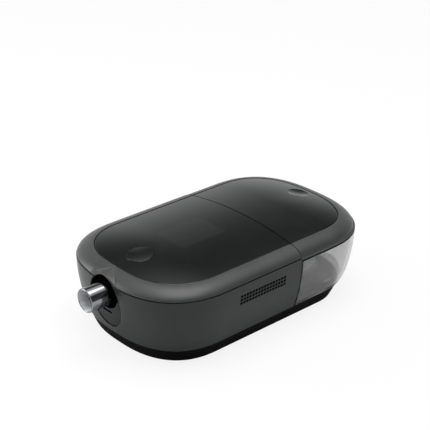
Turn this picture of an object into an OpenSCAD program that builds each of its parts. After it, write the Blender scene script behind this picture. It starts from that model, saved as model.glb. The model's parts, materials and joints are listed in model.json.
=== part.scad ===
// Bedside breathing machine with a pull-out water tank under a hinged lid.
// Millimetres. Z is up, the air outlet faces -Y, the tank is at +Y, the service side is -X.
// The origin is the middle of the footprint, on the table.

/* [Body] */
// Overall width
body_w = 164; // [150:1:200]
// Overall length without the air outlet
body_l = 262; // [250:1:316]
// Length of the straight stretch of each side
straight_l = 124; // [110:1:150]
// Height of the seam under the satin band
seam_z = 67.1; // [66:0.1:68]
// Height of the glossy panel's edge
edge_z = 75.5; // [75:0.1:77]
// Rise of the glossy panel above its edge
crown = 6.2; // [5.5:0.1:8]
// How far the band rolls in up to the panel
band_in = 14.9; // [13:0.1:17]
// How far the side walls lean in down to the table
draft = 13; // [10:0.1:14]
// Wall thickness of the shells
wall = 2.4; // [2:0.1:2.8]
// Thickness of the glossy panels
panel_t = 2.4; // [2:0.1:2.6]
// Y of the parting line between the machine and its tank
parting_y = 25.4; // [20:0.1:30]
// Width of the parting gap
parting_gap = 1; // [0.8:0.1:1.6]

/* [Base] */
// Height of the rubber feet under the pan
foot_h = 2.5; // [2:0.1:3]
// Height of the base pan's rim
base_top = 14.5; // [13:0.1:15]
// Radius of a rubber foot
foot_r = 8; // [6:0.5:9]
// How much shorter the base is under the tank's end
finger_room = 10; // [6:0.5:14]

/* [Outlet] */
// Outer radius of the air outlet, a 22 mm hose port
port_r = 11; // [10:0.05:12]
// Wall of the air outlet
port_wall = 1.6; // [1.2:0.1:2]
// How far the outlet stands out past the end wall
port_out = 20; // [15:0.5:26]
// Height of the outlet's upper side
port_top = 67; // [66:0.1:67.5]
// Half width of the oval recess
oval_a = 21; // [19:0.1:22]
// Centre of the recess across the front end
oval_x = -1.2; // [-2:0.1:2]
// Half height of the oval recess
oval_b = 25.6; // [25:0.1:26]
// Height of the recess's centre
oval_z = 47; // [46.5:0.1:47.2]

/* [Button and screen] */
// Radius of the round button
button_r = 12.6; // [10:0.1:14]
// Y of the button
button_y = -91; // [-94:0.5:-89]
// Button travel
button_travel = 0.7; // [0.5:0.05:0.8]
// Screen width
screen_w = 40; // [30:1:44]
// Screen length
screen_l = 52; // [40:1:60]
// Y of the screen's centre
screen_y = -34; // [-38:0.5:-30]

/* [Grille] */
// Number of columns in the side grille
grille_cols = 16; // [8:1:20]
// Number of rows in the side grille
grille_rows = 3; // [2:1:3]
// Pitch of the grille's holes
grille_pitch = 3.4; // [3:0.1:3.6]
// Side of each square hole
grille_hole = 2.3; // [1.6:0.1:2.4]
// Y of the grille's centre
grille_y = -20.8; // [-26:0.1:-18]
// Height of the grille's centre
grille_z = 52; // [46:0.1:54]

/* [Tank] */
// Clearance under the tank
tank_clear = 0.7; // [0.5:0.1:0.9]
// Height of the tank's rim
tank_rim_z = 63.6; // [62:0.1:63.8]
// Height of the rounding along the tank's lower rear edge
tank_round = 9; // [6:0.5:11]
// Floor thickness of the tank
tank_floor = 3; // [2.4:0.1:3.4]
// Height of the two air ports between machine and tank
link_z = 49.5; // [47:0.1:50]
// Outer radius of the two air spigots
spigot_r = 9; // [8:0.1:10]
// Radius of the heater plate
heater_r = 38; // [30:0.5:40]
// Y of the heater plate's centre
heater_y = 74; // [72:0.5:76]
// Depth of the lid's lip under the seam
lip_h = 2.3; // [1.8:0.1:2.8]
// Radius of the thumb scoop in the lid
scoop_r = 11; // [8:0.5:13]
// Depth of the thumb scoop
scoop_deep = 1.4; // [0.8:0.1:1.6]
// Y of the thumb scoop
scoop_y = 101.5; // [96:0.5:103]
// Radius of the lid's hinge pin
hinge_pin_r = 1.2; // [1:0.05:1.4]
// Radius of the lid's hinge knuckles
knuckle_r = 2.4; // [2.2:0.1:2.6]

/* [Blower] */
// X of the blower's axis
blower_x = -26; // [-27:0.5:-25]
// Y of the blower's axis
blower_y = -50; // [-52:0.5:-48]
// Impeller radius
impeller_r = 27; // [22:0.5:27.5]
// Room round the impeller
volute_gap = 4.6; // [3:0.1:4.8]
// Outer radius of the blower's outlet
snout_r = 9; // [7:0.1:9.2]
// Motor shaft radius
shaft_r = 1.5; // [1.2:0.1:1.8]

/* [Service side] */
// Width of the filter door
door_w = 36; // [30:1:38]
// Height of the filter door's top edge
door_top = 56; // [50:0.5:57]
// Height of the filter door's hinge axis
door_axis_z = 31.8; // [31:0.1:33]
// Y of the filter door's centre
door_y = -40; // [-43:0.5:-38]
// Width of the card flap
flap_w = 20; // [16:1:21]
// Height of the card flap's top edge
flap_top = 55.5; // [54:0.1:57]
// Height of the card flap's hinge axis
flap_axis_z = 46.7; // [46:0.1:47]
// Y of the card flap's centre
flap_y = 11; // [9:0.5:12]
// Radius of the power inlet's bore
inlet_r = 2.75; // [2.5:0.05:3.2]
// Height of the power inlet's axis
inlet_z = 27; // [25:0.5:29]

/* [Hidden] */

$fn = 48;
eps = 0.01;
plan_nx = 2.55;             // how square the plan is across
plan_ny = 2.46;             // how square the plan is along
roll = 1.61;                // how square the band's roll is
lean = 2.1;                 // how late the side walls start to lean in
arc_steps = 26;             // facets round each end
side_steps = 6;             // rings up a side wall
half_w = body_w / 2;
half_l = body_l / 2;
run = straight_l / 2;
close = 0.3;                // gap between pieces that move past each other
snug = 0.05;                // gap between pieces that are pushed together
hatch_gap = 0.5;            // gap round the two hatches
button_gap = 0.4;           // gap round the button
screw_r = 1.3;
screw_head_r = 3;
screw_head_h = 1.3;
front_cut = parting_y - parting_gap / 2;
rear_cut = -(parting_y + parting_gap / 2);   // in the turned frame of the tank end
ledge = 4;                  // how far the band reaches under the panel
tank_bottom = base_top + tank_clear;
lid_bottom = seam_z - lip_h;
tilt = atan(2 * crown * (-button_y - run) / pow(half_l - band_in - run, 2));
duct_wall = 1.5;
port_z = port_top - port_r;

// ---- shapes shared by the shells ----
function bow(a, n) = sign(a) * pow(abs(a), 2 / n);
function side_in(z) = draft * pow(max(0, seam_z - z) / (seam_z - foot_h), lean);

// One rounded end of the plan at y < 0, inset by i, its end pulled in by "short".
function end_row(i, short = 0) = [for (k = [0:arc_steps]) let (t = 180 + 180 * k / arc_steps)
    [(half_w - i) * bow(cos(t), plan_nx), -run + (half_l - i - run - short) * bow(sin(t), plan_ny)]];
// Closed outline of the end at y < 0, cut straight at y = cut.
function end_ring(i, z, cut, short = 0) = [
    for (p = end_row(i, short)) [p.x, p.y, z],
    [half_w - i, cut, z], [i - half_w, cut, z]];
// Closed outline with both ends; only the +Y end is shortened.
function full_ring(i, z, short = 0) = [
    for (p = end_row(i)) [p.x, p.y, z],
    for (p = end_row(i, short)) [-p.x, -p.y, z]];
// Ring of the domed panel: rho is 1 at its edge and 0 at its spine.
function dome_z(rho) = edge_z + crown * (1 - rho * rho);
function dome_ring(rho, drop, cut, gap = 0) = [
    for (k = [0:arc_steps]) let (t = 180 + 180 * k / arc_steps)
        [(half_w - band_in - gap) * rho * bow(cos(t), plan_nx),
         -run + (half_l - band_in - gap - run) * rho * bow(sin(t), plan_ny), dome_z(rho) - drop],
    [(half_w - band_in - gap) * rho, cut, dome_z(rho) - drop],
    [-(half_w - band_in - gap) * rho, cut, dome_z(rho) - drop]];

// Solid through a stack of rings; a looped stack closes on its first ring and has no caps.
module skin(rings, looped = false) {
    n = len(rings[0]);
    m = len(rings);
    sides = [for (j = [0:looped ? m - 1 : m - 2], k = [0:n - 1])
        let (a = j * n + k, b = j * n + (k + 1) % n, c = (j + 1) % m * n + (k + 1) % n,
             d = (j + 1) % m * n + k)
        each [[a, d, c], [a, c, b]]];
    caps = looped ? [] : [[for (k = [0:n - 1]) k], [for (k = [n - 1:-1:0]) (m - 1) * n + k]];
    polyhedron([for (r = rings) each r], concat(sides, caps), convexity = 8);
}
module tube(r, bore, h) {
    difference() {
        cylinder(r = r, h = h);
        translate([0, 0, -eps]) cylinder(r = bore, h = h + 2 * eps);
    }
}
// Cylinder along +Y, along -X and along +X from a point.
module along_y(p, r, h) { translate(p) rotate([-90, 0, 0]) cylinder(r = r, h = h); }
module along_x(p, r, h) { translate(p) rotate([0, 90, 0]) cylinder(r = r, h = h); }
module y_tube(p, r, bore, h) { translate(p) rotate([-90, 0, 0]) tube(r, bore, h); }
module box(low, high) { translate(low) cube(high - low); }
// Prism of the recess's oval, grown by g, between two Y values.
module oval(g, y0, y1) {
    translate([0, y1, 0]) rotate([90, 0, 0]) linear_extrude(y1 - y0)
        polygon([for (k = [0:39]) [oval_x + (oval_a + g) * cos(9 * k), oval_z + (oval_b + g) * sin(9 * k)]]);
}

// ---- sections of the shells ----
side_z = [for (k = [0:side_steps]) base_top + (seam_z - base_top) * k / side_steps];
function band_rings(cut, low) = concat(
    low < seam_z ? [end_ring(0, low, cut)] : [],
    [for (t = [90:-15:0]) end_ring(band_in * (1 - bow(sin(t), roll)),
        seam_z + (edge_z - seam_z) * bow(cos(t), roll), cut)],
    [end_ring(band_in, edge_z - panel_t, cut),
     end_ring(band_in + ledge, edge_z - panel_t, cut - wall),
     end_ring(band_in + ledge, edge_z - 2 * panel_t, cut - wall),
     end_ring(wall, low < seam_z ? seam_z - 1 : seam_z, cut - wall)],
    low < seam_z ? [end_ring(wall, low, cut - wall)] : []);
module panel_skin(cut) {
    under = [0.05, 0.3, 0.55, 0.78, 0.94];
    skin(concat(
        [for (r = under) dome_ring(r, panel_t, cut - wall, 0.25)],
        [dome_ring(1, panel_t, cut, 0.25), dome_ring(1, 0, cut, 0.25)],
        [for (k = [len(under) - 1:-1:0]) dome_ring(under[k], 0, cut, 0.25)]));
}
// Places for screws and feet
base_posts = [[60, -62], [60, 6], [-60, -74], [-60, -12]];
post_h = 6;
post_in = 8.5;              // how far inside the overall width a post's block ends
sleeve_r = 4;
foot_places = [[0, 0], [50, -84], [-50, -84], [50, 76], [-50, 76]];

// ================= casing =================
pan_gap = 0.5;                                  // shadow gap between pan and housing
pan_floor = 2.5;
function pan_short(z) = finger_room * (1.4 - 0.4 * (z - foot_h) / (base_top - foot_h));
function pan_ring(i, z) = full_ring(side_in(z) + pan_gap + i, z, pan_short(z));
pan_low = foot_h + pan_floor;
pan_round = 3;                                  // height of the pan's rounded lower edge
deck_t = 2.5;                                   // deck that carries the tank
heater_t = 2.4;
heater_pad_t = 1;
heater_rise = 0.4;                              // how far the heater stands above the deck
heater_low = base_top + heater_rise - heater_t - heater_pad_t;
foot_sink = 0.8;                                // how far the feet are let into the pan
module base_pan() {
    color([0.03, 0.03, 0.035]) {
        difference() {
            skin([pan_ring(2.6, foot_h), pan_ring(0.8, foot_h + 0.3 * pan_round),
                pan_ring(0, foot_h + pan_round), pan_ring(0, (foot_h + base_top) / 2),
                pan_ring(0, base_top)]);
            skin([for (z = [pan_low, base_top / 2, base_top + 1])
                end_ring(side_in(z) + pan_gap + wall, z, front_cut - 6)]);
            rotate([0, 0, 180]) skin([for (z = [pan_low, base_top - deck_t])
                end_ring(side_in(z) + pan_gap + wall, z, rear_cut - 4, pan_short(z))]);
            translate([0, heater_y, base_top - deck_t - 1]) cylinder(r = heater_r + 1, h = deck_t + 2);
            for (p = foot_places) translate([p.x, p.y, foot_h - 1]) cylinder(r = foot_r, h = 1 + foot_sink);
            for (p = base_posts) translate([p.x, p.y, foot_h - 1]) {
                cylinder(r = screw_r + 0.4, h = pan_floor + 2);
                cylinder(r = screw_head_r + 0.4, h = 1.1 + screw_head_h);
            }
        }
        for (p = base_posts) translate([p.x, p.y, pan_low - eps])
            tube(sleeve_r, screw_r + 0.4, base_top - pan_low + eps);
        for (a = [45:90:315]) translate([0, heater_y, pan_low - eps]) rotate(a)
            translate([heater_r - 10, 0, 0]) cylinder(r = 3, h = heater_low - pan_low + eps);
        for (p = mount_places)
            translate([p.x, p.y, pan_low - eps]) cylinder(r = 4, h = mount_z - pan_low + eps);
        for (x = [power_x0 + 4, power_x1 - 4], y = [power_y0 + 4, power_y1 - 4])
            translate([x, y, pan_low - eps]) cylinder(r = 3, h = power_z - pan_low + eps);
    }
}

grille_step = [for (k = [0:grille_cols - 1]) grille_y + (k - (grille_cols - 1) / 2) * grille_pitch];
grille_row = [for (k = [0:grille_rows - 1]) grille_z + (k - (grille_rows - 1) / 2) * grille_pitch];
dry_link_x = -47;
door_barrel_r = 1.7;
door_x = -(half_w - side_in(door_axis_z)) + door_barrel_r;
door_pin_r = 0.7;
flap_barrel_r = 1.3;
flap_x = -(half_w - side_in(flap_axis_z)) + flap_barrel_r;
flap_pin_r = 0.5;
jaw = 3;                                        // how far a pin runs on into the jambs
inlet_y = flap_y - 3;
inlet_body_r = 6;
module housing() {
    color([0.13, 0.135, 0.135]) {
        difference() {
            skin(concat([for (z = side_z) end_ring(side_in(z), z, front_cut)],
                [for (k = [side_steps:-1:0]) end_ring(side_in(side_z[k]) + wall, side_z[k],
                    front_cut - wall)]), looped = true);
            oval(0, -half_l - 5, -half_l + 16);
            for (y = grille_step, z = grille_row)
                translate([half_w - 8, y - grille_hole / 2, z - grille_hole / 2])
                    cube([10, grille_hole, grille_hole]);
            box([-half_w - 2, door_y - door_w / 2, door_axis_z - door_barrel_r - close],
                [-half_w + 12, door_y + door_w / 2, door_top]);
            box([-half_w - 2, flap_y - flap_w / 2, flap_axis_z - flap_barrel_r - close],
                [-half_w + 8, flap_y + flap_w / 2, flap_top]);
            door_bore(door_pin_r + snug, jaw);
            flap_bore(flap_pin_r + snug, jaw);
            along_x([-half_w - 2, inlet_y, inlet_z], inlet_body_r + snug, 14);
            for (x = [0, dry_link_x]) along_y([x, front_cut - wall - 1, link_z], spigot_r + snug, wall + 2);
        }
        for (p = base_posts) difference() {
            box([p.x > 0 ? p.x - sleeve_r : -half_w + post_in, p.y - sleeve_r, base_top],
                [p.x > 0 ? half_w - post_in : p.x + sleeve_r, p.y + sleeve_r, base_top + post_h]);
            translate([p.x, p.y, base_top - 1]) cylinder(r = screw_r + snug, h = post_h + 2);
        }
        // cheeks that carry the door's pin
        for (s = [-1, 1]) difference() {
            box([door_x - 0.6, door_y + s * (door_w / 2 + jaw / 2) - jaw / 2, door_axis_z - 2.4],
                [door_x + 1.9, door_y + s * (door_w / 2 + jaw / 2) + jaw / 2, door_axis_z + 2.4]);
            door_bore(door_pin_r + snug, jaw);
        }
    }
}
// Cylinders on the hatches' hinge axes, running past the openings by "more".
module door_bore(r, more) {
    along_y([door_x, door_y - door_w / 2 - more, door_axis_z], r, door_w + 2 * more);
}
module flap_bore(r, more) {
    along_y([flap_x, flap_y - flap_w / 2 - more, flap_axis_z], r, flap_w + 2 * more);
}

hood_wall = 2.4;
hood_rise = 1.6;
hood_out = half_l - 1.5;
module top_band() {
    color([0.23, 0.235, 0.235]) difference() {
        union() {
            skin(band_rings(front_cut, seam_z), looped = true);
            intersection() {
                oval_hood();
                box([-half_w, -half_l - 5, seam_z], [half_w, -half_l + band_in, edge_z]);
            }
        }
        oval(0, -half_l - 5, -half_l + band_in - 1);
        intersection() {
            oval(well_wall + snug, -half_l + wall, -half_l + band_in + ledge + 1);
            box([-half_w, -half_l, 0], [half_w, 0, well_top + snug]);
        }
    }
}
module oval_hood() {
    translate([0, -half_l + band_in - 1, 0]) rotate([90, 0, 0])
        linear_extrude(hood_out - half_l + band_in - 1)
        polygon([for (k = [0:39]) [oval_x + (oval_a + hood_wall) * cos(9 * k),
            oval_z + (oval_b + hood_rise) * sin(9 * k)]]);
}
module top_panel() {
    color([0.045, 0.05, 0.05]) {
        difference() {
            panel_skin(front_cut);
            at_button() translate([0, 0, -8]) cylinder(r = button_r + button_gap, h = 16);
        }
        for (p = board_holes) translate([p.x, p.y, board_z + board_t])
            tube(3.2, screw_r + snug, under_panel(p) + 0.6 - board_z - board_t);
    }
}
// Height of the panel's underside over a point.
function rho_at(p) = pow(pow(abs(p.x) / (half_w - band_in), plan_nx)
    + pow(max(0, abs(p.y) - run) / (half_l - band_in - run), plan_ny), 0.4);
function under_panel(p) = dome_z(rho_at(p)) - panel_t;
// Frame on the panel's surface at the button: z along its normal.
module at_button() {
    translate([0, button_y, dome_z((-button_y - run) / (half_l - band_in - run))])
        rotate([tilt, 0, 0]) children();
}

// ================= outlet =================
well_back = -half_l + 26;
well_wall = 1.8;
port_step = 0.4;                                // the tube is this much thinner behind the hose's seat
well_top = edge_z - 2 * panel_t - 0.3;
module outlet_well() {
    color([0.02, 0.02, 0.025]) difference() {
        intersection() {
            oval(well_wall, -half_l + 3, well_back);
            skin([for (z = [oval_z - oval_b - 4, oval_z - 12, oval_z, seam_z - 8, well_top])
                end_ring(side_in(z) + wall + 0.1 + max(0, z - seam_z) * 3, z, 0)]);
        }
        intersection() {
            oval(0, -half_l, well_back - well_wall);
            union() {
                box([oval_x - oval_a, -half_l, 0], [oval_x + oval_a, well_back, well_top - well_wall]);
                box([oval_x - oval_a, -half_l, 0], [oval_x + oval_a, -half_l + band_in - 0.2, edge_z]);
            }
        }
        along_y([0, -half_l, port_z], port_r - port_step + snug, 40);
    }
}
plate_top = port_z - port_r - 3.5;
slot_z = plate_top - 3.5;
cuff_r = 17;                                    // round room that the plate leaves for the hose's cuff
horn_h = 9.5;                                   // height of the plate's two horns beside that room
slot_w = 15;
slot_h = 1.8;
module contact_plate() {
    color([0.12, 0.125, 0.125]) difference() {
        intersection() {
            skin(concat([for (z = side_z) end_ring(side_in(z) + 0.5, z, 0)],
                [for (k = [side_steps:-1:0])
                    end_ring(side_in(side_z[k]) + 0.5 + wall, side_z[k], -wall)]), looped = true);
            oval(-0.7, -half_l, -half_l + 16);
            box([-half_w, -half_l, base_top], [half_w, -half_l + 16, plate_top + horn_h]);
        }
        along_y([0, -half_l - 1, plate_top + cuff_r], cuff_r, 20);
        box([-slot_w / 2, -half_l, slot_z - slot_h / 2], [slot_w / 2, -half_l + 16, slot_z + slot_h / 2]);
    }
}
module hose_contacts() {
    color([0.75, 0.6, 0.3]) for (x = [-4, 0, 4])
        box([x - 1, -half_l + side_in(slot_z) + 3.1, slot_z - 0.5],
            [x + 1, well_back - well_wall, slot_z + 0.5]);
}
port_mouth = -half_l - port_out;
port_bore = port_r - port_wall;
port_seat = 20;                                 // length of the outlet that a hose slides on
barb_h = 8;                                     // length of the ends that the ducts push on
flange_t = 1.7;                                 // flange behind the recess's back wall
barb_y = well_back + flange_t;
barb_r = port_r - 1;
module outlet_port() {
    color([0.8, 0.82, 0.84]) rotate([-90, 0, 0]) difference() {
        union() {
            translate([0, -port_z, port_mouth]) cylinder(r = port_r, h = port_seat);
            translate([0, -port_z, port_mouth + port_seat - eps])
                cylinder(r = port_r - port_step, h = barb_y - port_mouth - port_seat + eps);
            translate([0, -port_z, well_back]) cylinder(r = port_r + 2, h = flange_t);
            translate([0, -port_z, barb_y - eps]) cylinder(r = barb_r, h = barb_h);
        }
        translate([0, -port_z, port_mouth - 1]) cylinder(r = port_bore, h = barb_y - port_mouth + 1 + eps);
        translate([0, -port_z, barb_y - 1]) cylinder(r = barb_r - 1.4, h = barb_h + 4);
    }
}

// ================= air path =================
block_y = front_cut - wall - 2.6;               // back of the port block's plate
spigot_wall = 1.6;
spigot_out = 5.3;                               // how far the spigots reach past the front cut
module port_block() {
    color([0.3, 0.31, 0.32]) difference() {
        union() {
            box([dry_link_x - spigot_r - 3, block_y, link_z - spigot_r - 3],
                [spigot_r + 5, front_cut - wall, link_z + spigot_r + 3]);
            for (x = [0, dry_link_x])
                along_y([x, block_y - barb_h, link_z], spigot_r, barb_h + front_cut - block_y + spigot_out);
        }
        for (x = [0, dry_link_x])
            along_y([x, block_y - barb_h - 1, link_z], spigot_r - spigot_wall,
                barb_h + front_cut - block_y + spigot_out + 3);
    }
}
module port_seals() {
    color([0.06, 0.06, 0.06]) for (x = [0, dry_link_x])
        y_tube([x, front_cut + parting_gap + 0.1, link_z], spigot_r + 1.4, spigot_r + snug, 3);
}
module bent_duct(a, b, ra, rb) {
    difference() {
        union() {
            along_y([a.x, a.y, a.z], ra + duct_wall, 8);
            along_y([b.x, b.y - 8, b.z], rb + duct_wall, 8);
            hull() {
                along_y([a.x, a.y + 7.4, a.z], ra + duct_wall - 0.2, 0.2, $fn = 32);
                along_y([b.x, b.y - 7.6, b.z], rb + duct_wall - 0.2, 0.2, $fn = 32);
            }
        }
        along_y([a.x, a.y - 1, a.z], ra, 9.1);
        along_y([b.x, b.y - 8.1, b.z], rb, 9.1);
        hull() {
            along_y([a.x, a.y + 7.8, a.z], ra - 0.4, 0.4, $fn = 32);
            along_y([b.x, b.y - 8.2, b.z], rb - 0.4, 0.4, $fn = 32);
        }
    }
}
module humid_duct() {
    color([0.55, 0.56, 0.58])
        bent_duct([0, barb_y + 0.6, port_z], [0, block_y - 0.1, link_z], barb_r + snug, spigot_r + snug);
}
volute_z = 23.4;                                // floor of the impeller's room
volute_t = 2;
blower_r = impeller_r + volute_gap + wall;
snout_x = blower_x - blower_r + snout_r;
snout_z = volute_z - volute_t + snout_r;
snout_end = -6;
module dry_duct() {
    color([0.5, 0.51, 0.53])
        bent_duct([snout_x, snout_end - 6, snout_z], [dry_link_x, block_y - 0.1, link_z],
            snout_r + snug, spigot_r + snug);
}
module pressure_sensor() {
    color([0.1, 0.25, 0.15]) {
        box([dry_link_x - 6, block_y - 7, link_z + spigot_r + duct_wall + 0.1],
            [dry_link_x + 6, block_y - 1, link_z + spigot_r + duct_wall + 1.5]);
        box([dry_link_x - 4, block_y - 6, link_z + spigot_r + duct_wall + 1.5 - eps],
            [dry_link_x + 4, block_y - 2, link_z + spigot_r + duct_wall + 4.5]);
    }
}

// ================= blower =================
mount_z = 7;                                    // top of the posts that hold the grommets
motor_z = 10;                                   // underside of the motor can
split_z = snout_z + 1;                          // joint between blower base and cover
blower_top = snout_z + snout_r + 0.6;
can_r = 20;
can_wall = 1.6;
mount_r = 5;
mount_places = [for (a = [30:120:270])
    [blower_x + (can_r + 6) * cos(a), blower_y + (can_r + 6) * sin(a)]];
bearing_r = 4;
bearing_h = 3;
eye_r = 9;                                      // air inlet in the blower's cover
collar_r = 11;
module blower_base() {
    color([0.2, 0.2, 0.21]) difference() {
        union() {
            translate([blower_x, blower_y, motor_z]) cylinder(r = can_r, h = volute_z - motor_z);
            translate([blower_x, blower_y, volute_z - volute_t])
                cylinder(r = blower_r, h = split_z - volute_z + volute_t);
            along_y([snout_x, blower_y, snout_z], snout_r, snout_end - blower_y);
            for (p = mount_places) hull() {
                translate([p.x, p.y, motor_z]) cylinder(r = mount_r, h = 2, $fn = 32);
                translate([blower_x, blower_y, motor_z]) cylinder(r = 8, h = 2, $fn = 32);
            }
        }
        translate([blower_x, blower_y, volute_z]) cylinder(r = blower_r - wall, h = 20);
        translate([blower_x, blower_y, motor_z + 5])
            cylinder(r = can_r - can_wall, h = volute_z - motor_z - 7);
        translate([blower_x, blower_y, bearing_low]) cylinder(r = bearing_r + snug, h = 20);
        translate([blower_x, blower_y, motor_z + 4.9]) cylinder(r = can_r - 6, h = 1);
        along_y([snout_x, blower_y, snout_z], snout_r - spigot_wall, 50);
    }
}
module blower_cover() {
    color([0.26, 0.26, 0.27]) difference() {
        union() {
            translate([blower_x, blower_y, split_z]) cylinder(r = blower_r, h = blower_top - split_z);
            translate([blower_x, blower_y, blower_top - eps]) cylinder(r = collar_r, h = 2.4);
        }
        translate([blower_x, blower_y, split_z - 1])
            cylinder(r = blower_r - wall, h = blower_top - split_z - 1);
        translate([blower_x, blower_y, split_z]) cylinder(r = eye_r, h = 20);
        along_y([snout_x, blower_y - 12, snout_z], snout_r + 2 * snug, 60);
    }
}
module blower_mounts() {
    color([0.08, 0.08, 0.08]) for (p = mount_places)
        translate([p.x, p.y, mount_z]) tube(mount_r, 1.5, motor_z - mount_z);
}
module motor_stator() {
    color([0.65, 0.4, 0.2]) translate([blower_x, blower_y, motor_z + 5.2])
        tube(can_r - can_wall - snug, magnet_r + 1.5, volute_z - motor_z - 8);
}
bearing_low = motor_z + 2;
bearing_high = volute_z - bearing_h;
magnet_r = 8.5;
module motor_bearings() {
    color([0.7, 0.7, 0.72]) for (z = [bearing_low, bearing_high])
        translate([blower_x, blower_y, z]) tube(bearing_r, shaft_r + 0.04, bearing_h);
}
module motor_shaft() {
    color([0.75, 0.75, 0.77]) translate([blower_x, blower_y, bearing_low + 0.5])
        cylinder(r = shaft_r, h = volute_z - bearing_low + 11.6);
}
module rotor_magnet() {
    color([0.35, 0.35, 0.37]) translate([blower_x, blower_y, bearing_low + 3.4])
        tube(magnet_r, shaft_r + 0.02, bearing_high - bearing_low - 3.8);
}
blade_n = 9;
module impeller() {
    color([0.85, 0.85, 0.83]) translate([blower_x, blower_y, volute_z + 1]) difference() {
        union() {
            cylinder(r = impeller_r, h = 1.2);
            cylinder(r = 6, h = 9);
            for (k = [0:blade_n - 1]) rotate(k * 360 / blade_n) translate([5, 0, 1]) rotate(-32)
                cube([impeller_r * 0.72, 1.1, 9.2]);
            translate([0, 0, 10]) tube(impeller_r, 10.5, 1);
        }
        translate([0, 0, -1]) cylinder(r = shaft_r + 0.02, h = 12);
    }
}
box_y0 = blower_y - 24;
box_y1 = blower_y + 24;
box_x0 = -64;
box_x1 = -14;
box_low = blower_top + 1;
box_high = 60;
module inlet_box() {
    color([0.28, 0.29, 0.3]) difference() {
        box([box_x0, box_y0, box_low], [box_x1, box_y1, box_high]);
        box([box_x0 - 1, box_y0 + 1.5, box_low + 1.5], [box_x1 - 1.5, box_y1 - 1.5, box_high - 1.5]);
        translate([blower_x, blower_y, box_low - 1]) cylinder(r = collar_r + snug, h = 4);
    }
}
module sound_foam() {
    color([0.22, 0.22, 0.22])
        box([box_x0 + 3, box_y0 + 1.6, box_low + 7], [box_x1 - 1.6, box_y1 - 1.6, box_high - 1.6]);
}

// ================= service side =================
tray_x0 = door_x + door_barrel_r + 0.5;
tray_x1 = box_x0 - 1;
tray_z0 = door_axis_z - 3;
tray_z1 = door_top + 2;
module filter_tray() {
    color([0.25, 0.26, 0.27]) difference() {
        box([tray_x0, door_y - door_w / 2 - 2, tray_z0], [tray_x1, door_y + door_w / 2 + 2, tray_z1]);
        box([tray_x0 - 1, door_y - door_w / 2 - 0.6, tray_z0 + 1.4],
            [tray_x1 - 1.4, door_y + door_w / 2 + 0.6, tray_z1 - 1.4]);
        box([tray_x1 - 3, door_y - door_w / 2 + 4, box_low + 1],
            [tray_x1 + 1, door_y + door_w / 2 - 4, tray_z1 - 3]);
    }
}
module pollen_filter() {
    color([0.92, 0.92, 0.9]) box([tray_x0 + 1, door_y - door_w / 2 - 0.4, tray_z0 + 1.6],
        [tray_x1 - 1.6, door_y + door_w / 2 + 0.4, tray_z1 - 1.6]);
}
module hatch_skin() {
    skin(concat([for (z = side_z) end_ring(side_in(z), z, front_cut - 1)],
        [for (k = [side_steps:-1:0])
            end_ring(side_in(side_z[k]) + wall, side_z[k], front_cut - 1 - wall)]), looped = true);
}
module filter_door() {
    color([0.13, 0.135, 0.135]) difference() {
        union() {
            intersection() {
                hatch_skin();
                box([-half_w - 1, door_y - door_w / 2 + hatch_gap, door_axis_z],
                    [-half_w + 14, door_y + door_w / 2 - hatch_gap, door_top - hatch_gap]);
            }
            door_bore(door_barrel_r, -hatch_gap);
        }
        door_bore(door_pin_r + 2 * snug, 0);
        for (z = [door_axis_z + 5:4.4:door_top - 5])
            box([-half_w - 1, door_y - door_w / 2 + 5, z], [-half_w + 14, door_y + door_w / 2 - 5, z + 2]);
    }
}
module card_flap() {
    color([0.13, 0.135, 0.135]) difference() {
        union() {
            intersection() {
                hatch_skin();
                box([-half_w - 1, flap_y - flap_w / 2 + hatch_gap, flap_axis_z],
                    [-half_w + 8, flap_y + flap_w / 2 - hatch_gap, flap_top - hatch_gap]);
            }
            flap_bore(flap_barrel_r, -hatch_gap);
        }
        flap_bore(flap_pin_r + 2 * snug, 0);
    }
}
module door_pin() {
    color([0.7, 0.7, 0.72]) door_bore(door_pin_r, jaw - 0.2);
}
module flap_pin() {
    color([0.7, 0.7, 0.72]) flap_bore(flap_pin_r, jaw - 0.2);
}
inlet_face = -(half_w - side_in(inlet_z)) + 0.6;
inlet_depth = 6.5;                              // length that guides the plug
inlet_end = inlet_depth + 3;                    // narrower room for the pin behind it
inlet_pin_r = 1.25;
module power_socket() {
    color([0.05, 0.05, 0.05]) difference() {
        along_x([inlet_face, inlet_y, inlet_z], inlet_body_r, 15);
        along_x([inlet_face - 1, inlet_y, inlet_z], inlet_r, inlet_depth + 1);
        along_x([inlet_face, inlet_y, inlet_z], inlet_r - 0.35, inlet_end);
        along_x([inlet_face, inlet_y, inlet_z], inlet_pin_r + snug, 13);
    }
}
module socket_pin() {
    color([0.8, 0.78, 0.7])
        along_x([inlet_face + inlet_depth + 0.2, inlet_y, inlet_z], inlet_pin_r, 6.3);
}
card_z = (flap_axis_z + flap_top) / 2;
card_x = flap_x + flap_barrel_r + 0.7;
module card_socket() {
    color([0.6, 0.6, 0.62]) difference() {
        box([card_x + 1, flap_y - 7.5, card_z - 1.6], [card_x + 16, flap_y + 7.5, card_z + 1.6]);
        box([card_x, flap_y - 5.6, card_z - 0.5], [card_x + 14.6, flap_y + 5.6, card_z + 0.6]);
    }
    color([0.1, 0.3, 0.18])
        box([card_x + 1, flap_y - 8.8, card_z - 3], [card_x + 16, flap_y + 8.8, card_z - 1.6 + eps]);
}
module memory_card() {
    color([0.1, 0.1, 0.12])
        box([card_x - 0.4, flap_y - 5.5, card_z - 0.4], [card_x + 14.4, flap_y + 5.5, card_z + 0.4]);
}
module vent_screen() {
    inner = half_w - side_in(grille_z) - wall;
    color([0.02, 0.02, 0.02])
        box([inner - 2.1, grille_step[0] - 5, grille_row[0] - 4.5],
            [inner - 1, grille_step[grille_cols - 1] + 5, grille_row[grille_rows - 1] + 4.5]);
}

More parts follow.
